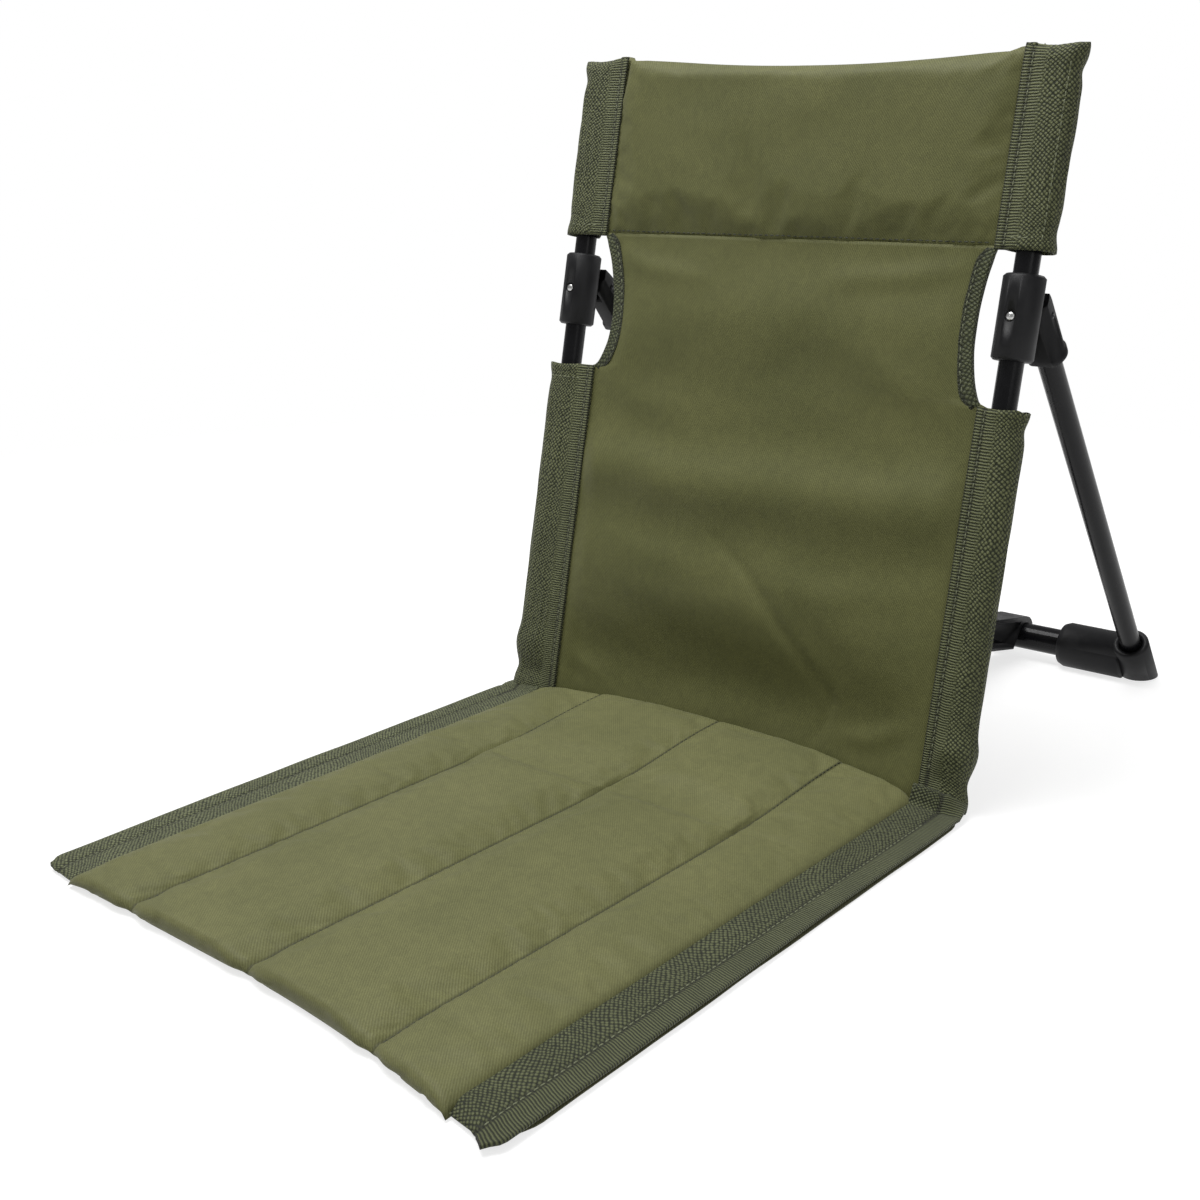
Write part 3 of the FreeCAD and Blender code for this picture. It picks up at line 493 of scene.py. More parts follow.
def divide(piece, lines):
    """Divides a pad's flat underside at each y, so that it can bend there."""
    def cut(shell):
        for y in lines:
            under = [face for face in shell.faces if len(face.verts) > UNDERSIDE_CORNERS]
            edges = {edge for face in under for edge in face.edges}
            corners = {corner for face in under for corner in face.verts}
            bmesh.ops.bisect_plane(shell, geom=[*under, *edges, *corners], plane_co=(0, y, 0), plane_no=(0, 1, 0))

    reshape(piece, cut)


def dress(piece, body, slot, *nodes):
    """Puts a piece on its body and hides the solids that it stands for. Its slot is not used.

    With no body, its placement is applied to its mesh and it is put on no body.
    """
    if body:
        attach(piece, body)
    else:
        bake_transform(piece)
    if nodes:
        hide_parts(*nodes)


# Stitching

def stitch_shape():
    """Points and faces of one stitch, lying along X."""
    deselect()
    bpy.ops.mesh.primitive_uv_sphere_add(segments=8, ring_count=5, radius=0.5)
    piece = bpy.context.object
    points = np.array([vertex.co for vertex in piece.data.vertices])
    points = points[:, [2, 0, 1]] * (STITCH_LENGTH, STITCH_WIDTH, STITCH_HEIGHT)
    faces = [tuple(face.vertices) for face in piece.data.polygons]
    bpy.data.objects.remove(piece)
    return points, faces


STITCH_POINTS, STITCH_FACES = stitch_shape()


def along(start, end, pitch=STITCH_PITCH):
    """Evenly spaced places between two ends, about a pitch apart."""
    count = max(2, round(abs(end - start) / pitch))
    return [mix(start, end, (index + 0.5) / count) for index in range(count)]


RAY_LENGTH = 0.08


def sewn_rows(name, target, rows, thread):
    """Rows of stitches on a target; each row lists (start, direction) rays that fall on it."""
    tree = BVHTree.FromObject(target, bpy.context.evaluated_depsgraph_get())
    points, faces = [], []
    for row in rows:
        hits = [tree.ray_cast(start, direction, RAY_LENGTH) for start, direction in row]
        hits = [(place, normal) for place, normal, _, _ in hits if place is not None]
        for index in range(len(hits)):
            place, normal = hits[index]
            ahead = hits[min(index + 1, len(hits) - 1)][0] - hits[max(index - 1, 0)][0]
            ahead = (ahead - normal * ahead.dot(normal)).normalized()
            aside = normal.cross(ahead)
            turn = np.array((ahead, aside, normal))
            first = len(points)
            points.extend(STITCH_POINTS @ turn + np.array(place))
            faces.extend(tuple(first + corner for corner in face) for face in STITCH_FACES)
    mesh = bpy.data.meshes.new(name)
    mesh.from_pydata([tuple(point) for point in points], [], faces)
    mesh.shade_smooth()
    mesh.materials.append(thread)
    piece = bpy.data.objects.new(name, mesh)
    bpy.context.scene.collection.objects.link(piece)
    return piece


def front_ray(x, u):
    """Ray that falls on the back from in front of it."""
    return back_point(x, -0.05, u), (BACK.to_3x3() @ Vector((0, 1, 0)))


def floor_ray(x, y):
    """Ray that falls on the seat from above."""
    return Vector((x, y, 0.06)), Vector((0, 0, -1))


# Seat

def seat_front(x):
    """Front edge of the seat, which lies back and runs forwards to its right corner."""
    return SEAT_FRONT + FRONT_BACK - FRONT_SHEAR * max(0.0, x / EDGE_X) ** 1.7


def pad_middle(x):
    """1 in the middle of the pad and 0 at its sides."""
    return 1 - min(1.0, abs(x) / PAD_X) ** 2.5


def seat_rear(x):
    """Rear line of the pad."""
    return SEAT_REAR + 0.002 + REAR_BOW * pad_middle(x)


def seat_y(x, share):
    return mix(seat_front(x), seat_rear(x), share)


def channel_height(x, flatness):
    """Height of the quilted pad across its sewn channels."""
    bounds = (-PAD_X, *SEAMS, PAD_X)
    for index, (left, right) in enumerate(zip(bounds, bounds[1:])):
        if x <= right or index == len(bounds) - 2:
            crown = CROWN if 0 < index < len(bounds) - 2 else SIDE_CROWN
            place = min(1, max(-1, (2 * x - left - right) / (right - left)))
            low_end = left if place < 0 else right
            low = EDGE_HEIGHT if abs(low_end) == PAD_X else mix(SEAM_HEIGHT, crown, 0.85 * flatness)
            groove = GROOVE_DEPTH * (1 - 0.7 * flatness) * max(hump(x, seam, 0.0024) for seam in SEAMS)
            return mix(low, crown, 1 - abs(place) ** 6) - groove


def seam_pull(x):
    """How strongly the nearest seam draws the cloth in, from 0 to 1."""
    return max(hump(x, seam, 0.009) for seam in SEAMS)


PAD_COLUMNS = 136
PAD_ROWS = 150
NOSE = 0.018              # length of cloth that turns down and under at the front
TAIL = 0.011              # length of cloth that turns down at the rear
PAD_LENGTH = SEAT_REAR - SEAT_FRONT + 0.004


def pad_x(s):
    """Place across the pad, with more columns of points near its seams."""
    x = mix(-PAD_X - 0.001, PAD_X + 0.001, s)
    turn = 2 * math.pi / SEAM_PITCH
    return x - 0.6 * smooth(0.160, 0.125, abs(x)) * math.sin(turn * x) / turn


def pad_point(s, t):
    """Point of the pad's top cloth, from under its front edge to the foot of its rear edge."""
    x = pad_x(s)
    front = seat_front(x) + 0.004 + 0.003 * seam_pull(x)
    rear = seat_rear(x)
    reach = t * (NOSE + PAD_LENGTH + TAIL) - NOSE
    y = mix(front, rear - 0.004, min(1, max(0, reach / PAD_LENGTH)))
    near_rear = smooth(SEAT_REAR - 0.120, SEAT_REAR + 0.010, y)
    height = channel_height(x, near_rear) + REAR_RISE * pad_middle(x) * near_rear
    if s < 1e-6 or s > 1 - 1e-6:
        height = PAD_FLOOR
    if reach < 0:
        turn = -reach / NOSE * math.pi
        radius = (height - PAD_FLOOR) / 2
        z = PAD_FLOOR + radius * (1 + math.cos(turn))
        return Vector((x, front - 0.007 * math.sin(turn), z * (1 - 0.18 * math.sin(turn))))
    if reach > PAD_LENGTH:
        turn = (reach - PAD_LENGTH) / TAIL * math.pi / 2
        return Vector((x, y + 0.004 * math.sin(turn), mix(height, PAD_FLOOR, 1 - math.cos(turn))))
    near_front = mix(0.0012, 0, smooth(0, 0.03, reach))
    return Vector((x, y, max(PAD_FLOOR, height - near_front)))


def seat_pad():
    """Quilted seat pad, sewn down along its seams."""
    length = NOSE + PAD_LENGTH + TAIL
    pad = sheet_grid("seat_pad", PAD_COLUMNS, PAD_ROWS, pad_point,
                     lambda s, t: (pad_x(s) + PAD_X, t * length), SEAT_TWILL)
    held = []
    for vertex in pad.data.vertices:
        x, y, z = vertex.co
        on_seam = min(abs(x - seam) for seam in SEAMS) < 0.0013
        on_edge = abs(x) > PAD_X - 0.004 or z < PAD_FLOOR + 0.001 or y > seat_rear(x) - 0.0045
        if on_seam or on_edge:
            held.append(vertex.index)
    settle(pad, held, slack=0.012, pressure=1.2, cap=0.0022)
    select(pad)
    bpy.ops.object.mode_set(mode="EDIT")
    bpy.ops.mesh.select_all(action="DESELECT")
    bpy.ops.mesh.select_non_manifold(extend=False, use_wire=False, use_multi_face=False,
                                     use_non_contiguous=False, use_verts=False)
    bpy.ops.mesh.edge_face_add()
    bpy.ops.object.mode_set(mode="OBJECT")
    divide(pad, [SEAT_REAR + 0.004 * step for step in range(-6, 2)])
    dress(pad, None, "panel_cloth", "seat_top_cloth", "seat_foam")
    rows = [[floor_ray(seam, seat_y(seam, share)) for share in along(0.015, 0.99, STITCH_PITCH / PAD_LENGTH)]
            for seam in SEAMS]
    dress(sewn_rows("seat_seam_stitches", pad, rows, SEAM_THREAD), None, "panel_cloth")


def seat_underside():
    """Flat cloth under the pad and its borders, whose edge shows beside the right border."""
    half = EDGE_X + 0.0030

    def place(s, t):
        x = mix(-half, half, s)
        rear = SEAT_REAR + 0.0125 - 0.003 * smooth(0.155, 0.165, abs(x))
        y = mix(seat_front(x) + 0.005, rear, t)
        inset = 0.007 * smooth(0.94, 1.0, t) ** 2 + 0.006 * smooth(0.06, 0.0, t) - 0.0008 * rumple(0, y, 0.06, 2.0)
        return Vector((x - inset * x / half, y, 0.0009))

    cloth = sheet_grid("seat_underside", 80, 84, place, lambda s, t: (s * 2 * half, t * PAD_LENGTH), UNDERSIDE)
    thicken(cloth, 0.0007)
    dress(cloth, None, "base_cloth", "seat_base_cloth")


BORDER_INNER = PAD_X - 0.0015
BORDER_FOLD = EDGE_X + 0.0022
BORDER_UNDER = 0.012      # width turned under
FOLD_HEIGHT = 0.0054      # height of its upper face at the fold
BORDER_TOP = BORDER_FOLD - BORDER_INNER
BORDER_STITCH = 0.0215    # from the inner edge
LIP = 0.020               # length that turns up round the sleeve's foot
BORDER_LENGTH = PAD_LENGTH + LIP - 0.006


def border_section(share, side_wave):
    """Across a right border: (x, z) of its outer face and its distance from the fold."""
    bend = 0.0013
    turn_length = math.pi * bend
    length = BORDER_TOP + turn_length + BORDER_UNDER
    reach = share * length
    sink = 0.0010 * hump(reach, BORDER_STITCH, 0.0022)
    if reach < BORDER_TOP:
        place = reach / BORDER_TOP
        return (BORDER_INNER + reach, mix(0.0066, FOLD_HEIGHT, smooth(0.0, 0.7, place)) - sink + side_wave * place,
                BORDER_TOP - reach)
    if reach < BORDER_TOP + turn_length:
        turn = (reach - BORDER_TOP) / bend
        return (BORDER_FOLD + bend * math.sin(turn), FOLD_HEIGHT - bend + bend * math.cos(turn) + side_wave,
                reach - BORDER_TOP)
    reach -= BORDER_TOP + turn_length
    return BORDER_FOLD - reach, FOLD_HEIGHT - 2 * bend + 0.0003 * math.sin(reach / 0.003) + side_wave, reach


def seat_border(side, name):
    """Woven border of the seat, folded over at its outer edge; side is 1 on the right."""
    def place(s, t):
        wave = 0.0006 * rumple(t, side, 0.13, 5.0) + 0.0005
        x, z, _ = border_section(outwards(s, side), wave)
        across = (x - BORDER_INNER) / BORDER_TOP
        x += 0.0012 * rumple(t, side, 0.22, 9.0) * across
        front = seat_front(side * x) - (0.004 * smooth(0.5, 1.0, across) if side > 0 else -0.003 * across)
        front_turn = smooth(0.024, 0.0, t) * smooth(1.1, 0.0, across)
        main = BORDER_LENGTH - LIP
        lip = max(0.0, t * BORDER_LENGTH - main) / LIP
        corner = max(0.0, across) ** 5
        rise = 0.0115 if side > 0 else 0.0030
        y = mix(front, SEAT_REAR - 0.004, min(1.0, t * BORDER_LENGTH / main)) + LIP * mix(0.35, 0.95, corner) * lip
        z += rise * smooth(0, 1, lip) * mix(1, 0.35, corner) - 0.0012 * hump(lip, 0.1, 0.12)
        x -= (0.004 * lip ** 2 + 0.005 * smooth(0.03, 0.0, t) ** 2) * corner
        return Vector((side * x, y, max(0.0018, z - 0.0034 * front_turn)))

    def flat(s, t):
        return border_section(outwards(s, side), 0)[2], t * BORDER_LENGTH

    border = sheet_grid(name + "_seat_edging", 44, 120, place, flat, BORDER_EDGING[side])
    thicken(border, 0.0010)
    dress(border, None, "webbing", name + "_seat_border")
    x = side * (BORDER_INNER + BORDER_STITCH)
    rows = [[floor_ray(x, seat_y(x, share)) for share in along(0.012, 0.94, STITCH_PITCH / PAD_LENGTH)]]
    dress(sewn_rows(name + "_seat_edging_stitches", border, rows, EDGING_THREAD), "seat", "webbing")


# Back

def side_of(x):
    return 1 if x > 0 else -1


def cutout_point(share, side):
    """Edge of a cut-out as (distance from the middle, u), from the sleeve's top (0) to the pocket's bottom (1)."""
    inside = min(1.0, max(0.0, share))
    depth = CUTOUT_DEPTH[side] * math.sin(math.pi * inside ** 0.8) ** 0.75
    edge = mix(SLEEVE_INNER[side], POCKET_INNER[side], inside)
    return Vector((edge - depth, SLEEVE_TOP + CUTOUT_HEIGHT * share))


def cutout_edge(u, side):
    """Half width of the back's cloth at a height."""
    share = (u - SLEEVE_TOP) / CUTOUT_HEIGHT
    if share <= 0:
        return SLEEVE_INNER[side] + TUCK
    if share >= 1:
        return POCKET_INNER[side] + TUCK
    return cutout_point(share, side).x + 0.001


BACK_ROWS = 132
BACK_COLUMNS = 112
FOLD_TOP = 0.110          # height below which the cloth hangs back to the pad
FOLD_LENGTH = 0.1085      # length of cloth below it
FOLD_FLARE = 0.0022       # how much further back it hangs between there and the pad
BACK_WIDTH = SLEEVE_INNER[-1] + SLEEVE_INNER[1] + 2 * TUCK
PANEL_LENGTH = POCKET_BOTTOM + 0.004 - FOLD_TOP / LEAN_COS


def on_panel(height):
    """Point of the back's plane at a height above the floor."""
    return Vector((0, FOOT_Y + height * LEAN_SIN / LEAN_COS + PANEL_FRONT / LEAN_COS, height))


def fold_point(x, height):
    """Point of the cloth near the seat, where it hangs back to the pad's rear line."""
    spot = on_panel(height)
    low = seat_rear(x) + 0.0012 - on_panel(0.010).y
    back = low * (1 - smooth(0.030, FOLD_TOP, height))
    back += FOLD_FLARE * smooth(0.004, 0.044, height) * smooth(0.084, 0.044, height)
    return Vector((x, spot.y + back * smooth(0, 0.016, SLEEVE_INNER[side_of(x)] - abs(x)), height))


def crease(x, u, line, width):
    """Share of a soft crease along a line of points (x, u), fading at both ends."""
    place = Vector((x, u))
    best = 0.0
    for index in range(len(line) - 1):
        start, end = Vector(line[index]), Vector(line[index + 1])
        run = end - start
        share = max(0.0, min(1.0, (place - start).dot(run) / run.length_squared))
        away = (place - start - run * share).length
        along_line = (index + share) / (len(line) - 1)
        best = max(best, math.exp(-(away / width) ** 2) * math.sin(math.pi * (0.12 + 0.76 * along_line)))
    return best


BAND_X = 0.15
# Broad bands of the back where the cloth stands forwards, as (u at x = -BAND_X, 0 and BAND_X; width; forwards)
BACK_BANDS = (
    ((0.114, 0.106, 0.108), 0.036, 0.0044),
    ((0.190, 0.187, 0.194), 0.024, 0.0072),
    ((0.300, 0.312, 0.300), 0.036, 0.0040),
)
# Creases of the back as (points, width, forwards)
BACK_FOLDS = (
    (((-0.016, 0.150), (0.012, 0.130), (0.032, 0.111), (0.049, 0.093), (0.070, 0.072), (0.088, 0.052)),
     0.0055, -0.0022),
    (((0.088, 0.060), (0.086, 0.040), (0.076, 0.018)), 0.0042, -0.0010),
    (((0.052, 0.110), (0.078, 0.092), (0.108, 0.070)), 0.013, -0.0020),
    (((-0.135, 0.146), (-0.085, 0.131), (-0.020, 0.128)), 0.012, 0.0014),
    (((0.020, 0.130), (0.075, 0.124), (0.150, 0.138)), 0.012, 0.0014),
    (((-0.128, 0.104), (-0.080, 0.082), (-0.010, 0.066)), 0.015, -0.0016),
    (((-0.150, 0.352), (-0.110, 0.340), (-0.060, 0.334)), 0.008, 0.0018),
    (((0.150, 0.350), (0.100, 0.342), (0.050, 0.338)), 0.008, 0.0018),
    (((0.146, 0.256), (0.104, 0.276), (0.060, 0.298)), 0.013, 0.0018),
    (((-0.146, 0.258), (-0.110, 0.244), (-0.070, 0.236)), 0.013, 0.0018),
    (((0.152, 0.048), (0.125, 0.034), (0.100, 0.030)), 0.007, 0.0020),
    (((-0.152, 0.052), (-0.135, 0.036), (-0.115, 0.028)), 0.007, 0.0018),
)


def back_relief(x, u):
    """How far the back's cloth stands forwards of its plane."""
    edge = smooth(0, 0.024, cutout_edge(u, side_of(x)) - abs(x))
    bands = 0
    for (left, middle, right), width, height in BACK_BANDS:
        centre = mix(middle, left if x < 0 else right, (x / BAND_X) ** 2)
        bands += height * hump(u, centre + 0.004 * rumple(x, 0, 0.07, centre * 90), width)
    folds = sum(height * crease(x, u, line, width) for line, width, height in BACK_FOLDS)
    ripple = 0.0011 * rumple(x, u * 1.6, 0.075, 1.0) + 0.0005 * rumple(x, u, 0.03, 4.0)
    return edge * (bands + folds + ripple)


def back_cloth():
    """Cloth of the back, from behind the seat up to the headrest's seam."""
    total = FOLD_LENGTH + PANEL_LENGTH

    def place(s, t):
        reach = t * total
        if reach < FOLD_LENGTH:
            x = mix(-SLEEVE_INNER[-1] - TUCK, SLEEVE_INNER[1] + TUCK, s)
            spot = fold_point(x, mix(0.003, FOLD_TOP, reach / FOLD_LENGTH))
            u = (spot.y - FOOT_Y) * LEAN_SIN + spot.z * LEAN_COS
            lift = back_relief(x, u) * smooth(0.006, 0.026, u)
            return Vector((x, spot.y - lift * LEAN_COS, spot.z + lift * LEAN_SIN))
        u = FOLD_TOP / LEAN_COS + PANEL_FRONT * LEAN_SIN / LEAN_COS + reach - FOLD_LENGTH
        x = mix(-cutout_edge(u, -1), cutout_edge(u, 1), s)
        return back_point(x, PANEL_FRONT - back_relief(x, u), u)

    cloth = sheet_grid("back_cloth", BACK_COLUMNS, BACK_ROWS, place,
                       lambda s, t: (s * BACK_WIDTH, t * total), BACK_TWILL)
    thicken(cloth, CLOTH)
    dress(cloth, "back", "panel_cloth", "back_panel", "fold_gusset")


HEADREST_THICK = 0.0030   # without its swelling
HEADREST_CROWN = 0.0050   # swelling of each face
HEADREST_SAG = 0.0075     # of the middle of its top
HEADREST_TOP = POCKET_TOP + 0.0020
HEADREST_MIDDLE = PANEL_FRONT + HEADREST_THICK / 2
HEADREST_TILT = (0.0058, -0.0018)     # its top lies higher on the left
HEADREST_X = {side: POCKET_INNER[side] + 0.0055 for side in (-1, 1)}
HEADREST_WIDTH = HEADREST_X[-1] + HEADREST_X[1]


def headrest_point(s, t):
    """Point of the headrest: up its front from the seam, over the top and down its back."""
    x = mix(-HEADREST_X[-1], HEADREST_X[1], s)
    across = 1 - (2 * s - 1) ** 2
    top = HEADREST_TOP + mix(*HEADREST_TILT, s) - HEADREST_SAG * across
    height = top - POCKET_BOTTOM
    rise = 1 - abs(2 * t - 1)
    facing = -1 if t < 0.5 else 1
    side = smooth(0, 0.05, s) * smooth(1, 0.95, s)
    round_top = math.sqrt(max(0.0, 1 - smooth(0.91, 1.0, rise) ** 2))
    swell = (1 - math.exp(-(rise / 0.055) ** 1.3)) * (1 - 0.35 * rise)
    soft = 1 + 0.22 * rumple(x, rise * height * 1.5, 0.055, 31.0 + facing)
    thick = (HEADREST_THICK / 2 * side + HEADREST_CROWN * across ** 0.35 * swell * soft) * round_top
    if rise < 1e-6 or s < 1e-6 or s > 1 - 1e-6:
        thick = 0
    return back_point(x, HEADREST_MIDDLE + facing * thick, POCKET_BOTTOM + 0.0005 + rise * height)


def headrest():
    """Thin padded headrest between the two pockets."""
    height = HEADREST_TOP - POCKET_BOTTOM
    piece = sheet_grid("headrest", 104, 84, headrest_point,
                       lambda s, t: (s * HEADREST_WIDTH, t * 2 * height), BACK_TWILL)
    weld(piece)
    held = []
    for vertex in piece.data.vertices:
        place = BACK.inverted() @ vertex.co
        if abs(place.x) > HEADREST_X[side_of(place.x)] - 0.004 or place.z < POCKET_BOTTOM + 0.003:
            held.append(vertex.index)
    settle(piece, held, slack=0.010, pressure=1.5, cap=0.004)
    dress(piece, "back", "panel_cloth", "headrest_cover", "headrest_foam")
    rows = [[front_ray(x, POCKET_BOTTOM + 0.0042)
             for x in along(-POCKET_INNER[-1] + 0.004, POCKET_INNER[1] - 0.004)]]
    dress(sewn_rows("headrest_seam_stitches", piece, rows, SEAM_THREAD), "back", "panel_cloth")


# Woven sleeves and pockets on the back tubes

def sleeve_section(inner):
    """Section (x, v) of a right sleeve from its sewn front edge round the tube to its rear edge, and its run."""
    far = TUBE_X + SLEEVE_SPARE
    points = []
    for step in range(25):
        x = mix(inner, far, step / 24)
        valley = 0.0011 * hump(x, inner + 0.0062, 0.0022)
        swell = 0.0008 * hump(x, TUBE_X, 0.011)
        points.append((x, -SLEEVE_R + 0.0004 + valley - swell))
    for step in range(1, 17):
        turn = math.pi * (step / 16 - 0.5)
        points.append((far + SLEEVE_R * math.cos(turn), SLEEVE_R * math.sin(turn)))
    for step in range(0, 9):
        turn = math.radians(mix(90, 150, step / 8))
        points.append((TUBE_X + SLEEVE_R * math.cos(turn), SLEEVE_R * math.sin(turn)))
    points.append((min(inner + 0.0065, TUBE_X - 0.0106), FLANGE_BACK))
    points.append((inner, FLANGE_BACK))
    points = np.array(points)
    return points, np.concatenate(([0], np.cumsum(np.linalg.norm(np.diff(points, axis=0), axis=1))))


def section_at(section, share):
    """Point of a section and its outward direction."""
    points, run = section
    reach = share * run[-1]
    step = 0.0015

    def spot(length):
        return Vector((np.interp(length, run, points[:, 0]), np.interp(length, run, points[:, 1])))

    ahead = (spot(reach + step) - spot(reach - step)).normalized()
    return spot(reach), Vector((ahead.y, -ahead.x))


def loose(share):
    """1 where the sleeve is free and 0 at its sewn edges."""
    return smooth(0.07, 0.16, share) * smooth(0.93, 0.84, share)


def back_sleeve(side, name):
    """Woven sleeve round the lower part of a back tube, bunched at the floor."""
    inner = SLEEVE_INNER[side]
    section = sleeve_section(inner)
    length = float(section[1][-1])

    def place(s, t):
        share = outwards(s, side)
        spot, out = section_at(section, share)
        foot = 0.0012 + 0.0052 * smooth(0.001, -0.007, spot.y)
        u_low = (foot + spot.y * LEAN_SIN) / LEAN_COS
        u = mix(u_low, SLEEVE_TOP, t ** 1.12)
        below_top = SLEEVE_TOP - u
        free = loose(share)
        push = 0.0012 * hump(u, 0.006, 0.007) - 0.0022 * hump(u, 0.021, 0.007) + 0.0036 * hump(u, 0.041, 0.010)
        push *= 0.7 + 0.6 * rumple(share * 6, u * 40, 1.0, 3.0 + side)
        push += 0.0007 * rumple(share * 5, u, 0.035, 7.0 + side)
        pinch = 0.0015 * hump(below_top, 0.013, 0.006) * smooth(TUBE_X, EDGE_X, spot.x)
        flare = 0.0008 * smooth(0.010, 0.0, below_top)
        point = spot + out * (push * free + flare * free)
        near_top = smooth(0.02, 0.0, below_top)
        sag = near_top * (0.0014 * hump(point.x, TUBE_X, 0.012) + 0.0016 * smooth(EDGE_X - 0.005, EDGE_X, point.x))
        return back_point(side * (point.x - pinch), point.y, max(u_low, u - sag))

    def flat(s, t):
        return outwards(s, side) * length, t * SLEEVE_TOP

    sleeve = sheet_grid(name + "_sleeve_edging", 92, 96, place, flat, SLEEVE_EDGING)
    thicken(sleeve, WEBBING)
    dress(sleeve, "back", "webbing", name + "_back_sleeve")
    edge = side * (inner + 0.0055)
    rows = [[front_ray(edge, u) for u in along(0.026, SLEEVE_TOP - 0.002)]]
    if side < 0:
        rows.append([front_ray(side * x, SLEEVE_TOP - 0.011) for x in along(inner + 0.012, EDGE_X - 0.006)])
    dress(sewn_rows(name + "_sleeve_stitches", sleeve, rows, EDGING_THREAD), "back", "webbing")


POCKET_CLOSE = 0.009      # height over which a pocket closes above the tube's end
POCKET_SPARE = {-1: 0.0065, 1: 0.0010}     # how far the cloth stands above the cut top


def head_pocket(side, name):
    """Woven pocket over the end of a back tube, sewn together along its top."""
    top = POCKET_TOP + POCKET_SPARE[side]
    inner = POCKET_INNER[side]
    section = sleeve_section(inner)
    length = float(section[1][-1])

    def up_share(t):
        return 1 - (1 - t) ** 1.5

    def place(s, t):
        share = outwards(s, side)
        spot, out = section_at(section, share)
        u = mix(POCKET_BOTTOM, top, up_share(t))
        below = min(1.0, (top - u) / POCKET_CLOSE)
        across = (spot.x - inner) / (EDGE_X - inner)
        openness = mix(0.1, 1, math.sqrt(1 - (1 - below) ** 2))
        seam = mix(FLANGE_BACK - 0.0006, -0.001, across)
        v = seam + (spot.y - seam) * openness
        near_top = smooth(0.016, 0.002, top - u)
        x = spot.x + 0.0022 * near_top * across ** 2 - 0.0016 * hump(top - u, 0.016, 0.006) * across ** 2
        wave = 0.0009 * near_top * math.cos(2 * math.pi * (across + 0.04 * side))
        free = loose(share)
        push = 0.0009 * rumple(share * 5, u, 0.03, 11.0 + side) + 0.0008 * hump(u, POCKET_BOTTOM + 0.004, 0.006)
        nip = 0.0016 * hump(u, POCKET_BOTTOM + 0.012, 0.008) * smooth(0.6, 1.0, across)
        return back_point(side * (x + out.x * push * free - nip), v + out.y * push * free, u + wave)

    def flat(s, t):
        return outwards(s, side) * length, up_share(t) * (top - POCKET_BOTTOM)

    pocket = sheet_grid(name + "_pocket_edging", 92, 64, place, flat, SLEEVE_EDGING)
    thicken(pocket, WEBBING)
    dress(pocket, "back", "webbing", name + "_head_pocket")
    low, high = POCKET_BOTTOM + 0.002, POCKET_TOP - 0.004
    rows = [[front_ray(side * (inner + 0.0058), u) for u in along(low, high)],
            [front_ray(side * (EDGE_X - 0.0062), u) for u in along(low + 0.004, high - 0.006)],
            [front_ray(side * x, POCKET_BOTTOM + 0.0075) for x in along(inner + 0.010, EDGE_X - 0.010)]]
    dress(sewn_rows(name + "_pocket_stitches", pocket, rows, EDGING_THREAD), "back", "webbing")


BINDING_WIDTH = 0.010
BINDING_TUCK = 0.01       # share of the tape hidden at each end


def binding_point(share, inwards, side):
    """Point at a distance from a cut-out's edge into the cloth."""
    run = cutout_point(share + 0.01, side) - cutout_point(share - 0.01, side)
    place = cutout_point(share, side) + Vector((-run.y, run.x)).normalized() * inwards
    inner = SLEEVE_INNER if share < 0.5 else POCKET_INNER
    return Vector((min(place.x, inner[side] + 0.004), place.y))


def cutout_binding(side, name):
    """Tape folded over the edge of a cut-out, slightly bunched round the curve."""
    shares = [mix(-BINDING_TUCK, 1 + BINDING_TUCK, step / 60) for step in range(61)]
    length = sum((cutout_point(b, side) - cutout_point(a, side)).length for a, b in zip(shares, shares[1:]))

    def place(s, t):
        turn = (outwards(s, side) - 0.5) * 2
        share = mix(-BINDING_TUCK, 1 + BINDING_TUCK, t)
        slack = 0.0007 * rumple(t * 5, side, 1.0, 17.0) * smooth(0.3, 1.0, abs(turn))
        taper = smooth(-0.04, 0.10, t) * smooth(1.04, 0.90, t)
        inwards = BINDING_WIDTH * mix(0.45, 1, taper) * smooth(0.12, 1.0, abs(turn)) - 0.0012 + slack * taper
        bulge = (0.0021 + 0.0004 * rumple(t * 7, turn, 1.0, 21.0 + side)) * mix(0.4, 1, taper)
        middle = PANEL_FRONT + CLOTH / 2
        fold = math.sqrt(max(0.0, 1 - max(0.0, 0.25 - abs(turn)) ** 2 / 0.0625))
        v = middle if abs(turn) < 1e-9 else middle + math.copysign(bulge * fold, turn)
        spot = binding_point(share, inwards, side)
        return back_point(side * spot.x, v, spot.y)

    def flat(s, t):
        return (1 - abs(s - 0.5) * 2) * BINDING_WIDTH, t * length

    tape = sheet_grid(name + "_cutout_tape", 26, 72, place, flat, TAPE)
    thicken(tape, 0.0008)
    dress(tape, "back", "webbing", name + "_cutout_binding")
    row = []
    for share in along(0.09, 0.91, STITCH_PITCH / CUTOUT_HEIGHT):
        spot = binding_point(share, BINDING_WIDTH - 0.0032, side)
        row.append(front_ray(side * spot.x, spot.y))
    dress(sewn_rows(name + "_cutout_stitches", tape, [row], EDGING_THREAD), "back", "webbing")


# Frame hardware

def finished(node, material, slot, angle=35):
    """Smooth copy of a rigid solid with its finish."""
    source = frame["nodes"][node]
    piece = bpy.data.objects.new(node + "_finish", source.data.copy())
    bpy.context.scene.collection.objects.link(piece)
    weld(piece, 0.000002)
    piece.data.materials.clear()
    piece.data.materials.append(material)
    select(piece)
    bpy.ops.object.shade_smooth_by_angle(angle=math.radians(angle))
    dress(piece, source["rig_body"], slot, node)


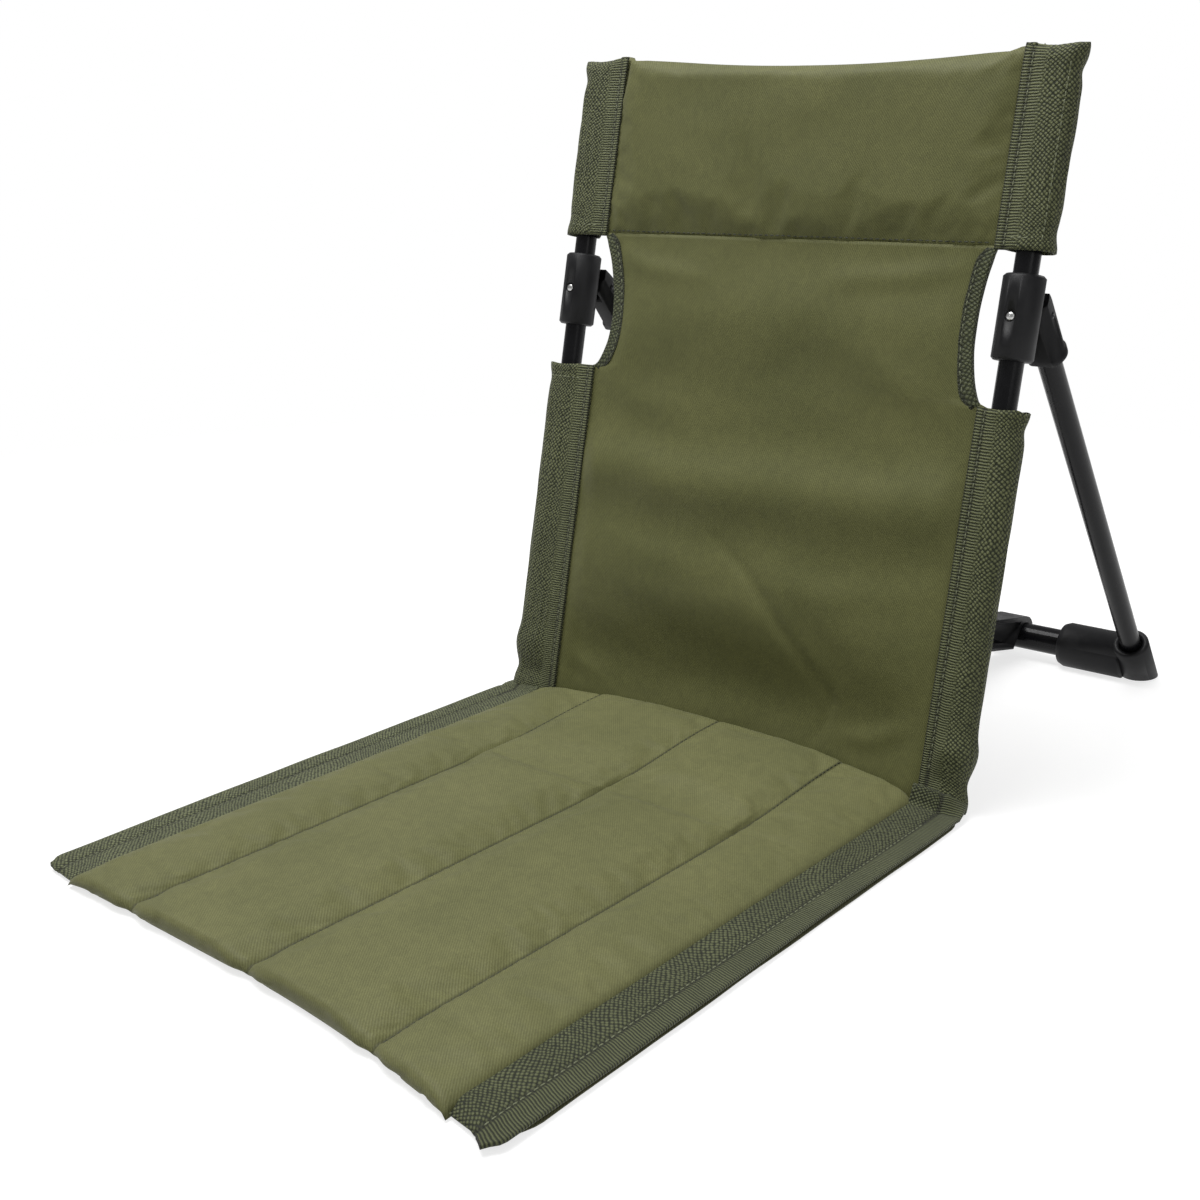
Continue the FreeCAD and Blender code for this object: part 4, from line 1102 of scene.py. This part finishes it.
def hardware():
    """Finishes of the tubes, mouldings, rivets and pins."""
    for side in ("left", "right"):
        finished(side + "_back_tube", COATED_STEEL, "steel_tube")
        finished(side + "_leg_tube", COATED_STEEL, "steel_tube")
        for name in ("_pivot_bracket", "_leg_socket", "_foot_corner", "_hook"):
            finished(side + name, PLASTIC, "plastic", 30)
    for name in ("lower_cross_tube", "floor_crossbar"):
        finished(name, COATED_STEEL, "steel_tube")
    for name in ("tube_top_caps", "tube_bottom_caps"):
        finished(name, PLASTIC, "plastic")
    finished("bracket_rivets", BRIGHT_STEEL, "bare_steel")
    finished("pivot_pins", DARK_STEEL, "bare_steel")


# Stage

CAMERA_PLACE = Vector((0.599, -0.800, 0.4179))
CAMERA_YAW = math.radians(40.26)
CAMERA_PITCH = math.radians(16.64)
CAMERA_ROLL = math.radians(-0.58)
CAMERA_LENS = 45.1
SENSOR_WIDTH = 36
WHITE = (1, 1, 1, 1)
SKY_STRENGTH = 0.31
FLOOR_RADIUS = 12
FLOOR_DROP = 0.0004       # below the chair


def camera():
    """Camera at the photograph's angle."""
    ahead = Vector((-math.sin(CAMERA_YAW) * math.cos(CAMERA_PITCH), math.cos(CAMERA_YAW) * math.cos(CAMERA_PITCH),
                    -math.sin(CAMERA_PITCH)))
    level = Vector((math.cos(CAMERA_YAW), math.sin(CAMERA_YAW), 0))
    over = level.cross(ahead)
    right = level * math.cos(CAMERA_ROLL) + over * math.sin(CAMERA_ROLL)
    up = over * math.cos(CAMERA_ROLL) - level * math.sin(CAMERA_ROLL)
    turn = Matrix((right, up, -ahead)).transposed().to_4x4()
    deselect()
    bpy.ops.object.camera_add()
    piece = bpy.context.object
    piece.matrix_world = Matrix.Translation(CAMERA_PLACE) @ turn
    piece.data.lens = CAMERA_LENS
    piece.data.sensor_width = SENSOR_WIDTH
    piece.data.clip_start = 0.01
    bpy.context.scene.camera = piece


def softbox(name, place, aim, size, power):
    """Large soft lamp."""
    deselect()
    bpy.ops.object.light_add(type="AREA", location=place)
    lamp = bpy.context.object
    lamp.name = name
    lamp.data.size = size
    lamp.data.energy = power
    lamp.rotation_euler = (Vector(aim) - Vector(place)).to_track_quat("-Z", "Y").to_euler()


def studio():
    """Pale floor, soft lamps and a white surround."""
    deselect()
    bpy.ops.mesh.primitive_circle_add(vertices=96, radius=FLOOR_RADIUS, fill_type="NGON",
                                      location=(0, 0, -FLOOR_DROP))
    floor = bpy.context.object
    floor.name = "studio_floor"
    floor.data.materials.append(studio_floor("studio_floor"))
    softbox("top_lamp", (-0.5, -0.33, 2.2), (0, -0.05, 0.1), 1.3, 44)
    softbox("side_lamp", (1.9, -0.9, 1.2), (0, 0, 0.2), 1.2, 5)
    softbox("rear_lamp", (0.4, 1.9, 1.6), (0, 0.1, 0.2), 1.2, 8)
    world = bpy.data.worlds.new("surround")
    bpy.context.scene.world = world
    world.use_nodes = True
    nodes = world.node_tree.nodes
    sky = nodes["Background"]
    sky.inputs["Color"].default_value = WHITE
    sky.inputs["Strength"].default_value = SKY_STRENGTH
    white = add_node(world, "ShaderNodeBackground", {"Color": WHITE}).outputs["Background"]
    seen = add_node(world, "ShaderNodeLightPath").outputs["Is Camera Ray"]
    both = add_node(world, "ShaderNodeMixShader", {0: seen, 1: sky.outputs["Background"], 2: white})
    link(world, both.outputs["Shader"], nodes["World Output"], "Surface")
    bpy.context.scene.view_settings.view_transform = "Standard"


hardware()
for side_sign, side_name in ((-1, "left"), (1, "right")):
    back_sleeve(side_sign, side_name)
    head_pocket(side_sign, side_name)
    cutout_binding(side_sign, side_name)
    seat_border(side_sign, side_name)
back_cloth()
headrest()
seat_pad()
seat_underside()
camera()
studio()
